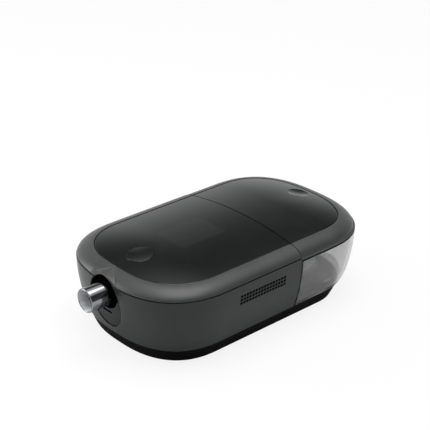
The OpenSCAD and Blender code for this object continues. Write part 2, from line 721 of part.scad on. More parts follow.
// ================= electronics =================
board_z = 69;
board_t = 1.6;
ribbon_y = -22;
board_x = 34;
board_y0 = well_back + 3;
board_y1 = 0;
board_holes = [for (x = [-board_x + 5, board_x - 5], y = [board_y0 + 8, board_y1 - 6]) [x, y]];
module control_board() {
    color([0.05, 0.22, 0.14]) difference() {
        union() {
            box([-board_x, board_y0, board_z], [board_x, board_y1, board_z + board_t]);
            box([-28, -78, board_z + board_t - eps], [-16, -66, board_z + board_t + 1.4]);
            box([8, -80, board_z + board_t - eps], [24, -68, board_z + board_t + 1.2]);
            box([board_x - 6, ribbon_y - 8, board_z - 2.4], [board_x, ribbon_y + 8, board_z + eps]);
        }
        for (p = board_holes)
            translate([p.x, p.y, board_z - 1]) cylinder(r = screw_r + 0.2, h = board_t + 2);
    }
}
module board_screws() {
    color([0.7, 0.7, 0.72]) for (p = board_holes) {
        translate([p.x, p.y, board_z - 1.6]) cylinder(r = 2.6, h = 1.6);
        translate([p.x, p.y, board_z - eps]) cylinder(r = screw_r, h = board_t + 4);
    }
}
screen_t = 1.6;
display_top = dome_z(screen_w / 2 / (half_w - band_in)) - panel_t - 0.4;
module display_module() {
    color([0.06, 0.07, 0.08]) translate([0, screen_y, 0]) {
        difference() {
            box([-screen_w / 2 - 1, -screen_l / 2 - 1, board_z + board_t],
                [screen_w / 2 + 1, screen_l / 2 + 1, display_top - screen_t]);
            box([-screen_w / 2 + 1, -screen_l / 2 + 1, board_z],
                [screen_w / 2 - 1, screen_l / 2 - 1, display_top]);
        }
        box([-screen_w / 2, -screen_l / 2, display_top - screen_t - eps],
            [screen_w / 2, screen_l / 2, display_top]);
    }
}
cap_t = panel_t + 0.9;
flange_w = 1.6;
cap_flange_t = 1.2;
stem_h = 0.9;
module start_button() {
    dish = 1.1;                                 // depth of the dished top
    dish_r = (button_r * button_r + dish * dish) / (2 * dish);
    color([0.05, 0.055, 0.055]) at_button() difference() {
        union() {
            translate([0, 0, -cap_t]) cylinder(r = button_r, h = cap_t - 0.1);
            translate([0, 0, -cap_t - cap_flange_t])
                cylinder(r = button_r + flange_w, h = cap_flange_t + eps);
            translate([0, 0, -cap_t - cap_flange_t - stem_h]) cylinder(r = 3, h = stem_h + eps);
        }
        translate([0, 0, dish_r - dish]) sphere(r = dish_r - 0.3);
    }
}
button_z = dome_z((-button_y - run) / (half_l - band_in - run));
module button_switch() {
    color([0.15, 0.15, 0.16]) {
        box([-3.2, button_y - 3.2, board_z + board_t], [3.2, button_y + 3.2, board_z + board_t + 2]);
        translate([0, button_y, board_z + board_t + 2 - eps]) cylinder(r = 1.7,
            h = button_z - cap_t - cap_flange_t - stem_h - button_travel - 0.45 - board_z - board_t - 2);
    }
}
module ribbon_cable() {
    color([0.7, 0.7, 0.66]) {
        box([board_x - 3, ribbon_y - 6, board_z - 2.95], [board_x + 6.5, ribbon_y + 6, board_z - 2.45]);
        box([board_x + 6, ribbon_y - 6, power_z + power_t + 2.1],
            [board_x + 6.5, ribbon_y + 6, board_z - 2.45]);
    }
}
power_x0 = 22;
power_x1 = 54;
power_y0 = -94;
power_y1 = 0;
power_z = 10;
power_t = 1.6;
module power_board() {
    deck = power_z + power_t - eps;
    color([0.1, 0.3, 0.16]) {
        box([power_x0, power_y0, power_z], [power_x1, power_y1, power_z + power_t]);
        box([board_x + 3, ribbon_y - 8, deck], [board_x + 9, ribbon_y + 8, power_z + power_t + 2]);
        for (y = [-84, -68, -52]) translate([power_x0 + 10, y, deck]) cylinder(r = 6, h = 20);
        box([power_x0 + 18, -88, deck], [power_x0 + 32, -70, power_z + 16]);
        box([power_x1 - 6, -64, deck], [power_x1 - 3, -26, power_z + 24]);
    }
}

// ================= heater and base hardware =================
module heater_pad() {
    color([0.5, 0.2, 0.12])
        translate([0, heater_y, heater_low]) cylinder(r = heater_r - 2, h = heater_pad_t);
}
module heater_plate() {
    color([0.72, 0.73, 0.75])
        translate([0, heater_y, heater_low + heater_pad_t]) cylinder(r = heater_r, h = heater_t);
}
module rubber_feet() {
    color([0.07, 0.07, 0.07]) for (p = foot_places)
        translate([p.x, p.y, 0]) cylinder(r = foot_r - close, h = foot_h + foot_sink - 0.1);
}
module base_screws() {
    color([0.7, 0.7, 0.72]) for (p = base_posts) {
        translate([p.x, p.y, foot_h]) cylinder(r = screw_head_r, h = screw_head_h);
        translate([p.x, p.y, foot_h + 1]) cylinder(r = screw_r, h = base_top + post_h - foot_h - 1.5);
    }
}

// ================= tank =================
function tank_short(z) = let (u = max(0, 1 - (z - tank_bottom) / tank_round))
    finger_room * 0.9 * (1 - sqrt(max(0, 1 - u * u)));
tank_zs = concat([for (h = [0, 0.03, 0.12, 0.3, 0.55, 1]) tank_bottom + h * tank_round],
    [for (k = [1:4]) tank_bottom + tank_round + (tank_rim_z - tank_bottom - tank_round) * k / 4]);
tank_in_zs = concat(
    [for (h = [0, 0.1, 0.3, 0.6, 1]) tank_bottom + tank_floor + h * (tank_round - tank_floor)],
    [for (k = [1:4]) tank_bottom + tank_round + (tank_rim_z - tank_bottom - tank_round) * k / 4]);
hinge_y = half_l;
hinge_z = (tank_rim_z + lid_bottom) / 2 - 0.2;
ear_x = 10;
ear_w = 6;
port_hole_r = spigot_r + 2;
tank_plate_r = heater_r - 2;
module turned() { rotate([0, 0, 180]) children(); }
module tank_body() {
    color([0.45, 0.47, 0.48, 0.45]) {
        difference() {
            turned() skin(concat(
                [for (z = tank_zs) end_ring(side_in(z), z, rear_cut, tank_short(z))],
                [for (k = [len(tank_in_zs) - 1:-1:0])
                    end_ring(side_in(tank_in_zs[k]) + wall, tank_in_zs[k], rear_cut - wall,
                        tank_short(tank_in_zs[k]))]));
            translate([0, heater_y, tank_bottom - 1]) cylinder(r = tank_plate_r, h = tank_floor + 2);
            for (x = [0, dry_link_x]) along_y([x, -rear_cut - 1, link_z], port_hole_r, wall + 2);
            box([-ear_x + 0.1, hinge_y - 4, hinge_z - knuckle_r - 0.5],
                [ear_x - 0.1, hinge_y + 4, tank_rim_z + 1]);
            along_x([-ear_x - ear_w, hinge_y, hinge_z], hinge_pin_r + 0.02, 2 * (ear_x + ear_w));
        }
        for (s = [-1, 1]) difference() {
            union() {
                along_x([s > 0 ? ear_x : -ear_x - ear_w, hinge_y, hinge_z], knuckle_r, ear_w);
                box([s > 0 ? ear_x : -ear_x - ear_w, hinge_y - 2.6, hinge_z - knuckle_r],
                    [s > 0 ? ear_x + ear_w : -ear_x, hinge_y, hinge_z]);
            }
            along_x([-ear_x - ear_w - 1, hinge_y, hinge_z], hinge_pin_r + 0.02, 2 * (ear_x + ear_w) + 2);
        }
    }
}
module tank_plate() {
    color([0.72, 0.73, 0.74]) translate([0, heater_y, tank_bottom]) difference() {
        cylinder(r = tank_plate_r - snug, h = tank_floor);
        translate([0, 0, 1.2]) cylinder(r = tank_plate_r - 3, h = tank_floor);
    }
}
guide_y = -rear_cut + wall + 0.2;
guide_t = 2;
guide_wall = 1.5;
guide_l = 22;                                   // how far the two tubes reach into the tank
module air_guide() {
    color([0.35, 0.36, 0.37, 0.6]) difference() {
        union() {
            box([dry_link_x - port_hole_r - 2, guide_y, link_z - port_hole_r - 3],
                [port_hole_r + 3, guide_y + guide_t, link_z + port_hole_r + guide_wall]);
            for (x = [0, dry_link_x])
                along_y([x, guide_y, link_z], port_hole_r + guide_wall, guide_l);
        }
        for (x = [0, dry_link_x]) along_y([x, guide_y - 1, link_z], port_hole_r, guide_l + 2);
    }
}
// Upright plates near the tank's sides, each with a thick part that ends on a smaller arc
slosh_x = 64;
slosh_arcs = [[66, 42.4, 1.2], [57.5, 33.4, 3]];  // reach along the tank, height, thickness
module slosh_plates() {
    y0 = guide_y;
    z0 = tank_bottom + tank_floor + close;
    color([0.35, 0.36, 0.37, 0.6]) for (s = [-1, 1], e = slosh_arcs)
        translate([s > 0 ? slosh_x - e[2] : -slosh_x, y0, z0]) rotate([90, 0, 90])
            linear_extrude(e[2]) polygon(concat([[0, 0]],
                [for (t = [0:5:90]) [e[0] * cos(t), e[1] * sin(t)]]));
}
module hinge_pin() {
    color([0.72, 0.72, 0.74])
        along_x([-ear_x - ear_w + 0.5, hinge_y, hinge_z], hinge_pin_r, 2 * (ear_x + ear_w) - 1);
}

// ================= lid =================
lid_gap = 0.4;                                  // gap beside the hinge's ears
seal_in = 0.8;                                  // how far the seal stays inside the lid's edge
seal_w = 3.6;
module hinge_notch(x0, x1) {
    for (s = [-1, 1]) box([s > 0 ? x0 : -x1, hinge_y - 3.4, tank_rim_z - 1],
        [s > 0 ? x1 : -x0, hinge_y + 4, hinge_z + knuckle_r + lid_gap]);
}
module lid_band() {
    color([0.23, 0.235, 0.235]) difference() {
        union() {
            turned() skin(band_rings(rear_cut, lid_bottom), looped = true);
            along_x([-ear_x + lid_gap, hinge_y, hinge_z], knuckle_r, 2 * (ear_x - lid_gap));
            box([-ear_x + lid_gap, hinge_y - 2.3, hinge_z], [ear_x - lid_gap, hinge_y, lid_bottom + 1]);
        }
        hinge_notch(ear_x - lid_gap, ear_x + ear_w + lid_gap);
        along_x([-ear_x - 1, hinge_y, hinge_z], hinge_pin_r + snug, 2 * ear_x + 2);
    }
}
module lid_panel() {
    color([0.045, 0.05, 0.05]) difference() {
        turned() panel_skin(rear_cut);
        scoop_ball = (scoop_r * scoop_r + scoop_deep * scoop_deep) / (2 * scoop_deep);
        scoop_rho = (scoop_y - run) / (half_l - band_in - run);
        scoop_tilt = atan(2 * crown * scoop_rho / (half_l - band_in - run));
        translate([0, scoop_y + (scoop_ball - scoop_deep) * sin(scoop_tilt),
            dome_z(scoop_rho) + (scoop_ball - scoop_deep) * cos(scoop_tilt)])
            sphere(r = scoop_ball);
    }
}
module lid_seal() {
    color([0.03, 0.03, 0.03]) difference() {
        turned() skin([for (e = [[seal_in, tank_rim_z + close], [seal_in, lid_bottom],
            [seal_in + seal_w, lid_bottom], [seal_in + seal_w, tank_rim_z + close]])
            end_ring(e[0], e[1], rear_cut - e[0])], looped = true);
        box([-ear_x - ear_w - lid_gap, hinge_y - 3.4, tank_rim_z],
            [ear_x + ear_w + lid_gap, hinge_y + 4, lid_bottom + 1]);
    }
}
module lid_liner() {
    color([0.2, 0.2, 0.21]) turned()
        skin([for (z = [lid_bottom, seam_z - 1.2]) end_ring(wall + close, z, rear_cut - wall - close)]);
}

base_pan();
housing();
top_band();
top_panel();
outlet_well();
contact_plate();
hose_contacts();
outlet_port();
humid_duct();
dry_duct();
port_block();
port_seals();
blower_base();
blower_cover();
blower_mounts();
motor_stator();
motor_bearings();
inlet_box();
sound_foam();
filter_tray();
pollen_filter();
power_socket();
socket_pin();
power_board();
control_board();
board_screws();
display_module();
button_switch();
ribbon_cable();
card_socket();
memory_card();
vent_screen();
heater_plate();
heater_pad();
pressure_sensor();
rubber_feet();
base_screws();
door_pin();
flap_pin();
impeller();
motor_shaft();
rotor_magnet();
start_button();
tank_body();
tank_plate();
air_guide();
slosh_plates();
hinge_pin();
lid_band();
lid_panel();
lid_seal();
lid_liner();
filter_door();
card_flap();
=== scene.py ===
import json
import math

import bmesh
import bpy
import numpy as np
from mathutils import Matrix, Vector


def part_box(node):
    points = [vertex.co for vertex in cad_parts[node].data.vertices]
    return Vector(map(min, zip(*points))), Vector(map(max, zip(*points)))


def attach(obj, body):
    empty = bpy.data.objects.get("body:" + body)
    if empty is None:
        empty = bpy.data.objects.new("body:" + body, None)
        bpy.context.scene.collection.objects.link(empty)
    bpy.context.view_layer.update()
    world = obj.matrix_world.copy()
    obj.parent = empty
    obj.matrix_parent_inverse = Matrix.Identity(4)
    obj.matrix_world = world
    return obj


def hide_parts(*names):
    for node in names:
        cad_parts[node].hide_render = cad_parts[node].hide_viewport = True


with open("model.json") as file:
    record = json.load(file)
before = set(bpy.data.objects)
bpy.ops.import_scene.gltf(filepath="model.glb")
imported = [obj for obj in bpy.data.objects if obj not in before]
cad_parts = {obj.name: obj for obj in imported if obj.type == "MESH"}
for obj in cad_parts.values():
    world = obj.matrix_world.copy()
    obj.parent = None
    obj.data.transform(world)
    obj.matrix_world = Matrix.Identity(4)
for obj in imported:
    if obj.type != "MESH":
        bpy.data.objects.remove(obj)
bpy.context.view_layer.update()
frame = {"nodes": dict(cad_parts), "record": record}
nodes = frame["nodes"]
print("stage: frame loaded,", len(nodes), "nodes")

# Lengths in this file are millimetres; meshes are written in metres.
shell = {
    "halfWidth": 82.0, "halfLength": 131.0, "run": 62.0,  # the plan: straight flanks, two rounded ends
    "crossPower": 2.55, "alongPower": 2.46,               # squareness of the rounded ends
    "seamZ": 67.1, "edgeZ": 75.5, "crown": 6.2,           # band's lower edge, panel's edge, panel's rise
    "bandIn": 14.9, "rollPower": 1.61,                    # width and roundness of the band
    "draft": 13.0, "lean": 2.1, "footZ": 2.5, "baseZ": 14.5,
    "wall": 2.4, "panelWall": 2.4, "frontCut": 24.9, "rearCut": -25.9,
    "arcSteps": 168, "flankSteps": 10,
}


# surfaces
def bow(a, power):
    # the sine or cosine raised to 2 / power with its sign kept, which squares a circle
    return np.sign(a) * np.abs(a) ** (2 / power)


def sideIn(z):
    # inset of the side wall: draft times the share of the way down from the seam, to the power of lean
    z = np.asarray(z, float)
    share = np.clip((shell["seamZ"] - z) / (shell["seamZ"] - shell["footZ"]), 0, None)
    return shell["draft"] * share ** shell["lean"]


def evenAngles(steps):
    # angles from 180 to 360 degrees whose points lie equally far apart along the rounded end
    t = np.linspace(math.pi, 2 * math.pi, 4001)
    x = shell["halfWidth"] * bow(np.cos(t), shell["crossPower"])
    y = (shell["halfLength"] - shell["run"]) * bow(np.sin(t), shell["alongPower"])
    along = np.concatenate([[0], np.cumsum(np.hypot(np.diff(x), np.diff(y)))])
    return np.interp(np.linspace(0, along[-1], steps + 1), along, t)


endAngles = evenAngles(shell["arcSteps"])


def outlineRings(xReach, yReach, z, cut):
    # closed rings, one a row: the rounded end from -X over -Y to +X, then straight flanks to y = cut
    xReach, yReach, z, cut = [np.atleast_1d(np.asarray(v, float)) for v in np.broadcast_arrays(xReach, yReach, z, cut)]
    share = np.linspace(0, 1, shell["flankSteps"] + 1)[1:]
    arcX = xReach[:, None] * bow(np.cos(endAngles), shell["crossPower"])
    arcY = -shell["run"] + yReach[:, None] * bow(np.sin(endAngles), shell["alongPower"])
    flankY = -shell["run"] + (cut[:, None] + shell["run"]) * share
    flankX = np.repeat(xReach[:, None], len(share), 1)
    x = np.concatenate([arcX, flankX, -flankX], 1)
    y = np.concatenate([arcY, flankY, flankY[:, ::-1]], 1)
    return np.stack([x, y, np.repeat(z[:, None], x.shape[1], 1)], -1)


def endRings(inset, z, cut, short=0.0):
    # rings of the plan moved in by "inset", with the rounded end pulled in further by "short"
    inset = np.asarray(inset, float)
    return outlineRings(shell["halfWidth"] - inset, shell["halfLength"] - inset - shell["run"] - short, z, cut)


def domeZ(rho):
    # panel height: the edge plus the crown times one minus the square of rho, which is 1 at the edge
    return shell["edgeZ"] + shell["crown"] * (1 - rho * rho)


def domeRings(rho, drop, cut, gap):
    # rings of the domed panel: its reach each way times rho, at the dome's height less "drop"
    rho, gap = np.asarray(rho, float), np.asarray(gap, float)
    return outlineRings((shell["halfWidth"] - shell["bandIn"] - gap) * rho,
                        (shell["halfLength"] - shell["bandIn"] - gap - shell["run"]) * rho,
                        domeZ(rho) - drop, cut)


def turned(points):
    # the same surface turned half round the upright axis, for the tank end
    return points * np.array([-1.0, -1.0, 1.0])


def gridFaces(rows, columns, closeRows=False, closeColumns=True):
    # four-sided faces between neighbours in a grid of points
    r, c = np.meshgrid(np.arange(rows if closeRows else rows - 1),
                       np.arange(columns if closeColumns else columns - 1), indexing="ij")
    up, on = (r + 1) % rows, (c + 1) % columns
    return np.stack([r * columns + c, r * columns + on, up * columns + on, up * columns + c], -1).reshape(-1, 4)


def meshFrom(name, points, faces, extra=(), merge=0.004, recalc=False):
    # a mesh from points and faces; corners nearer than "merge" become one
    mesh = bpy.data.meshes.new(name)
    corners = (np.asarray(points).reshape(-1, 3) * 0.001).tolist()
    mesh.from_pydata(corners, [], [list(f) for f in faces] + [list(f) for f in extra])
    work = bmesh.new()
    work.from_mesh(mesh)
    bmesh.ops.remove_doubles(work, verts=work.verts, dist=merge * 0.001)
    bmesh.ops.dissolve_degenerate(work, edges=work.edges, dist=merge * 0.0005)
    if recalc:
        bmesh.ops.recalc_face_normals(work, faces=work.faces)
    work.to_mesh(mesh)
    work.free()
    return mesh


def shellMesh(name, rings, closeRows=True, capFirst=False, capLast=False):
    # a stack of rings as one skin; a looped stack closes on its first ring
    rows, columns = rings.shape[:2]
    extra = []
    if capFirst:
        extra.append(list(range(columns - 1, -1, -1)))
    if capLast:
        extra.append([(rows - 1) * columns + c for c in range(columns)])
    return meshFrom(name, rings, gridFaces(rows, columns, closeRows), extra)


def circleAround(axis):
    # two unit vectors at right angles to the axis, so that first x second points along it
    axis = np.asarray(axis, float) / np.linalg.norm(axis)
    helper = np.array([0, 0, 1.0]) if abs(axis[2]) < 0.9 else np.array([1.0, 0, 0])
    first = np.cross(helper, axis)
    first /= np.linalg.norm(first)
    return first, np.cross(axis, first), axis


def revolved(name, profile, centre, axis, steps=96, closeRows=True):
    # a profile of (radius, height) carried round an axis; anticlockwise profiles face outwards
    first, second, axis = circleAround(axis)
    profile = np.asarray(profile, float)
    t = np.linspace(0, 2 * math.pi, steps, endpoint=False)
    ring = np.cos(t)[:, None] * first + np.sin(t)[:, None] * second
    points = np.asarray(centre, float) + profile[:, :1, None] * ring + profile[:, 1:, None] * axis
    return meshFrom(name, points, gridFaces(len(profile), steps, closeRows))


def prism(name, ring, sweep):
    # a closed ring of points carried along a vector, with flat ends
    ring = np.asarray(ring, float)
    n = len(ring)
    points = np.stack([ring, ring + np.asarray(sweep, float)])
    return meshFrom(name, points, gridFaces(2, n), [list(range(n - 1, -1, -1)), [n + c for c in range(n)]], recalc=True)


def rod(name, centre, axis, radius, length, steps=96):
    # a solid cylinder that starts at the centre point
    return revolved(name, [(0, 0), (radius, 0), (radius, length), (0, length)], centre, axis, steps, False)


def blocks(name, lows, highs):
    # separate boxes in one mesh, all worked out at once
    lows, highs = np.atleast_2d(lows).astype(float), np.atleast_2d(highs).astype(float)
    pick = np.array([[x, y, z] for z in (0, 1) for y in (0, 1) for x in (0, 1)])
    points = lows[:, None] + pick * (highs - lows)[:, None]
    quads = np.array([[0, 2, 3, 1], [4, 5, 7, 6], [0, 1, 5, 4], [2, 6, 7, 3], [0, 4, 6, 2], [1, 3, 7, 5]])
    faces = (quads[None] + 8 * np.arange(len(lows))[:, None, None]).reshape(-1, 4)
    return meshFrom(name, points, faces)


recess = {"halfWidth": 21.0, "halfHeight": 25.6, "centreX": -1.2, "centreZ": 47.0,
          "startY": -136.0, "housingDeep": 21.0, "bandDeep": 18.9}  # where the cut starts, and its depth in each piece


def ovalRing(grow, y, steps=112):
    # the recess's outline at one y, made larger by "grow"
    t = np.linspace(0, 2 * math.pi, steps, endpoint=False)
    return np.stack([recess["centreX"] + (recess["halfWidth"] + grow) * np.cos(t), np.full(steps, float(y)),
                     recess["centreZ"] + (recess["halfHeight"] + grow) * np.sin(t)], -1)


def carved(mesh, *tools, operation="DIFFERENCE"):
    # the mesh with each tool's room taken out of it
    body = bpy.data.objects.new("carving", mesh)
    bpy.context.scene.collection.objects.link(body)
    used = [body]
    for tool in tools:
        cutter = bpy.data.objects.new("tool", tool)
        bpy.context.scene.collection.objects.link(cutter)
        used.append(cutter)
        step = body.modifiers.new("step", "BOOLEAN")
        step.operation, step.solver, step.object = operation, "EXACT", cutter
    graph = bpy.context.evaluated_depsgraph_get()
    result = bpy.data.meshes.new_from_object(body.evaluated_get(graph))
    for old in used:
        bpy.data.objects.remove(old)
    result.name = mesh.name
    return result


def joined(name, *meshes):
    # several meshes in one, not merged
    work = bmesh.new()
    for mesh in meshes:
        work.from_mesh(mesh)
    result = bpy.data.meshes.new(name)
    work.to_mesh(result)
    work.free()
    return result


def place(name, mesh, body, slot, finish, *replaced, sharp=32, edge=0.0):
    # one finished piece: smooth shading with real edges, a small rounding, its body and finish
    mesh.name = name
    mesh.materials.clear()
    piece = bpy.data.objects.new(name, mesh)
    bpy.context.scene.collection.objects.link(piece)
    mesh.shade_smooth()
    mesh.set_sharp_from_angle(angle=math.radians(sharp))
    if edge:
        bevel = piece.modifiers.new("edge", "BEVEL")
        bevel.width, bevel.segments, bevel.limit_method = edge * 0.001, 2, "ANGLE"
        bevel.angle_limit, bevel.harden_normals = math.radians(40), True
    mesh.materials.append(finish)
    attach(piece, body)
    if replaced:
        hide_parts(*replaced)
    return piece


# finishes
class Wire:
    # an output socket; arithmetic on it adds Math nodes
    def __init__(self, tree, socket=None):
        self.tree, self.socket = tree, socket

    def add(self, kind, settings=None, inputs=None, out=0):
        node = self.tree.nodes.new(kind)
        for key, value in (settings or {}).items():
            setattr(node, key, value)
        for key, value in (inputs or {}).items():
            if isinstance(value, Wire):
                self.tree.links.new(value.socket, node.inputs[key])
            else:
                node.inputs[key].default_value = value
        return Wire(self.tree, node.outputs[out])

    def math(self, operation, *values):
        return self.add("ShaderNodeMath", {"operation": operation}, dict(enumerate(values)))

    def __add__(self, other): return self.math("ADD", self, other)
    def __sub__(self, other): return self.math("SUBTRACT", self, other)
    def __rsub__(self, other): return self.math("SUBTRACT", other, self)
    def __mul__(self, other): return self.math("MULTIPLY", self, other)
    def __abs__(self): return self.math("ABSOLUTE", self)
    __radd__, __rmul__ = __add__, __mul__

    def between(self, low, high):
        # 0 below low, 1 above high, and a soft step between them
        return self.add("ShaderNodeMapRange", {"interpolation_type": "SMOOTHSTEP"},
                        {"Value": self, "From Min": low, "From Max": high})

    def noise(self, where, scale, detail=2.0, rough=0.5):
        return self.add("ShaderNodeTexNoise", {},
                        {"Vector": where, "Scale": scale, "Detail": detail, "Roughness": rough})

    def mixColour(self, factor, a, b):
        return self.add("ShaderNodeMix", {"data_type": "RGBA"}, {0: factor, 6: a, 7: b}, out=2)


def colour(c):
    return (c[0], c[1], c[2], 1.0)


# what a finish has where its entry in "looks" says nothing else; scales are per metre
plain = {"stretch": (1, 1, 1), "cloud": 35.0, "grain": 2600.0, "vary": 0.12, "roughVary": 0.1, "roughGrain": 0.05,
         "relief": 0.15, "depth": 0.0001, "constants": {}}


def makeFinish(name, look):
    # a plastic, rubber or metal: mottled colour, uneven roughness and a fine relief, all on Object coordinates
    look = {**plain, **look}
    finish = bpy.data.materials.new(name)
    finish.use_nodes = True
    tree = finish.node_tree
    shader = tree.nodes["Principled BSDF"]
    wire = Wire(tree)
    where = wire.add("ShaderNodeTexCoord", out=3)
    stretched = wire.add("ShaderNodeMapping", {}, {"Vector": where, "Scale": look["stretch"]})
    cloud = wire.noise(where, look["cloud"], 3.0)
    grain = wire.noise(stretched, look["grain"], 2.0, 0.6)
    low = [v * (1 - look["vary"]) for v in look["colour"]]
    high = [min(1, v * (1 + look["vary"])) for v in look["colour"]]
    mask = (cloud * 0.65 + grain * 0.35).between(0.35, 0.65)
    paint = wire.mixColour(mask, colour(low), colour(high))
    height = grain
    if "pattern" in look:
        paint, height = look["pattern"](wire, where, paint, grain)
    rough = look["rough"] + (cloud - 0.5) * look["roughVary"] + (grain - 0.5) * look["roughGrain"]
    tree.links.new(paint.socket, shader.inputs["Base Color"])
    tree.links.new(rough.socket, shader.inputs["Roughness"])
    relief = wire.add("ShaderNodeBump", {},
                      {"Strength": look["relief"], "Distance": look["depth"], "Height": height})
    tree.links.new(relief.socket, shader.inputs["Normal"])
    for socket, value in look["constants"].items():
        shader.inputs[socket].default_value = value
    return finish


def screenPatch(wire, where, paint, grain):
    # the screen under the gloss: a faintly lighter rounded rectangle, seen through the panel
    parts = [wire.add("ShaderNodeSeparateXYZ", {}, {"Vector": where}, out=k) for k in (0, 1)]
    across = 1 - abs(parts[0]).between(0.0165, 0.021)
    along = 1 - abs(parts[1] + 0.034).between(0.0225, 0.027)
    return wire.mixColour(across * along, paint, (0.0135, 0.0158, 0.0152, 1)), grain


def paleMouthDeepShade(wire, where, paint, grain):
    # the bore's lining: palest at the mouth, with painted shade that makes it greyer further in
    along = wire.add("ShaderNodeSeparateXYZ", {}, {"Vector": where}, out=1)
    return wire.mixColour(along.between(-0.1485, -0.132), paint, (0.12, 0.125, 0.13, 1)), grain


def boardTracks(wire, where, paint, grain):
    # copper tracks under green lacquer, with tinned pads
    grid = wire.add("ShaderNodeTexBrick", {"offset": 0.35, "squash": 0.7, "squash_frequency": 3}, {
        "Vector": where, "Scale": 110.0, "Mortar Size": 0.035, "Mortar Smooth": 0.1,
        "Color1": (0, 0, 0, 1), "Color2": (0, 0, 0, 1), "Mortar": (1, 1, 1, 1)}, out=1)
    spots = 1 - wire.add("ShaderNodeTexVoronoi", {}, {"Vector": where, "Scale": 260.0}).between(0.16, 0.2)
    tracks = wire.mixColour(grid * 0.7, paint, (0.07, 0.3, 0.15, 1))
    return wire.mixColour(spots, tracks, (0.62, 0.62, 0.58, 1)), grain + spots * 2.0


def openFoam(wire, where, paint, grain):
    # pale cell walls round dark pores
    cells = wire.add("ShaderNodeTexVoronoi", {}, {"Vector": where, "Scale": 900.0})
    return wire.mixColour(cells.between(0.1, 0.5), paint, (0.16, 0.16, 0.16, 1)), 1 - cells


def feltFibres(wire, where, paint, grain):
    # tangled bright threads
    lines = wire.add("ShaderNodeTexWave", {"wave_profile": "SIN"}, {
        "Vector": where, "Scale": 240.0, "Distortion": 9.0, "Detail": 3.0, "Detail Scale": 3.0}, out=1)
    return wire.mixColour(lines * 0.4, paint, (0.6, 0.61, 0.6, 1)), lines + grain


def woundWireGrooveShade(wire, where, paint, grain):
    # turns of wire, with painted shade making the grooves between them darker
    turns = wire.add("ShaderNodeTexWave", {"bands_direction": "Z"},
                     {"Vector": where, "Scale": 420.0, "Distortion": 0.4}, out=1)
    return wire.mixColour(turns, (0.22, 0.09, 0.04, 1), paint), turns * 2.0


def heaterTracks(wire, where, paint, grain):
    # printed tracks across the heater's film
    rings = wire.add("ShaderNodeTexWave", {"wave_type": "BANDS", "bands_direction": "Y"},
                     {"Vector": where, "Scale": 60.0, "Distortion": 1.2, "Detail Scale": 0.6}, out=1)
    return wire.mixColour(rings.between(0.6, 0.75), paint, (0.5, 0.22, 0.1, 1)), rings


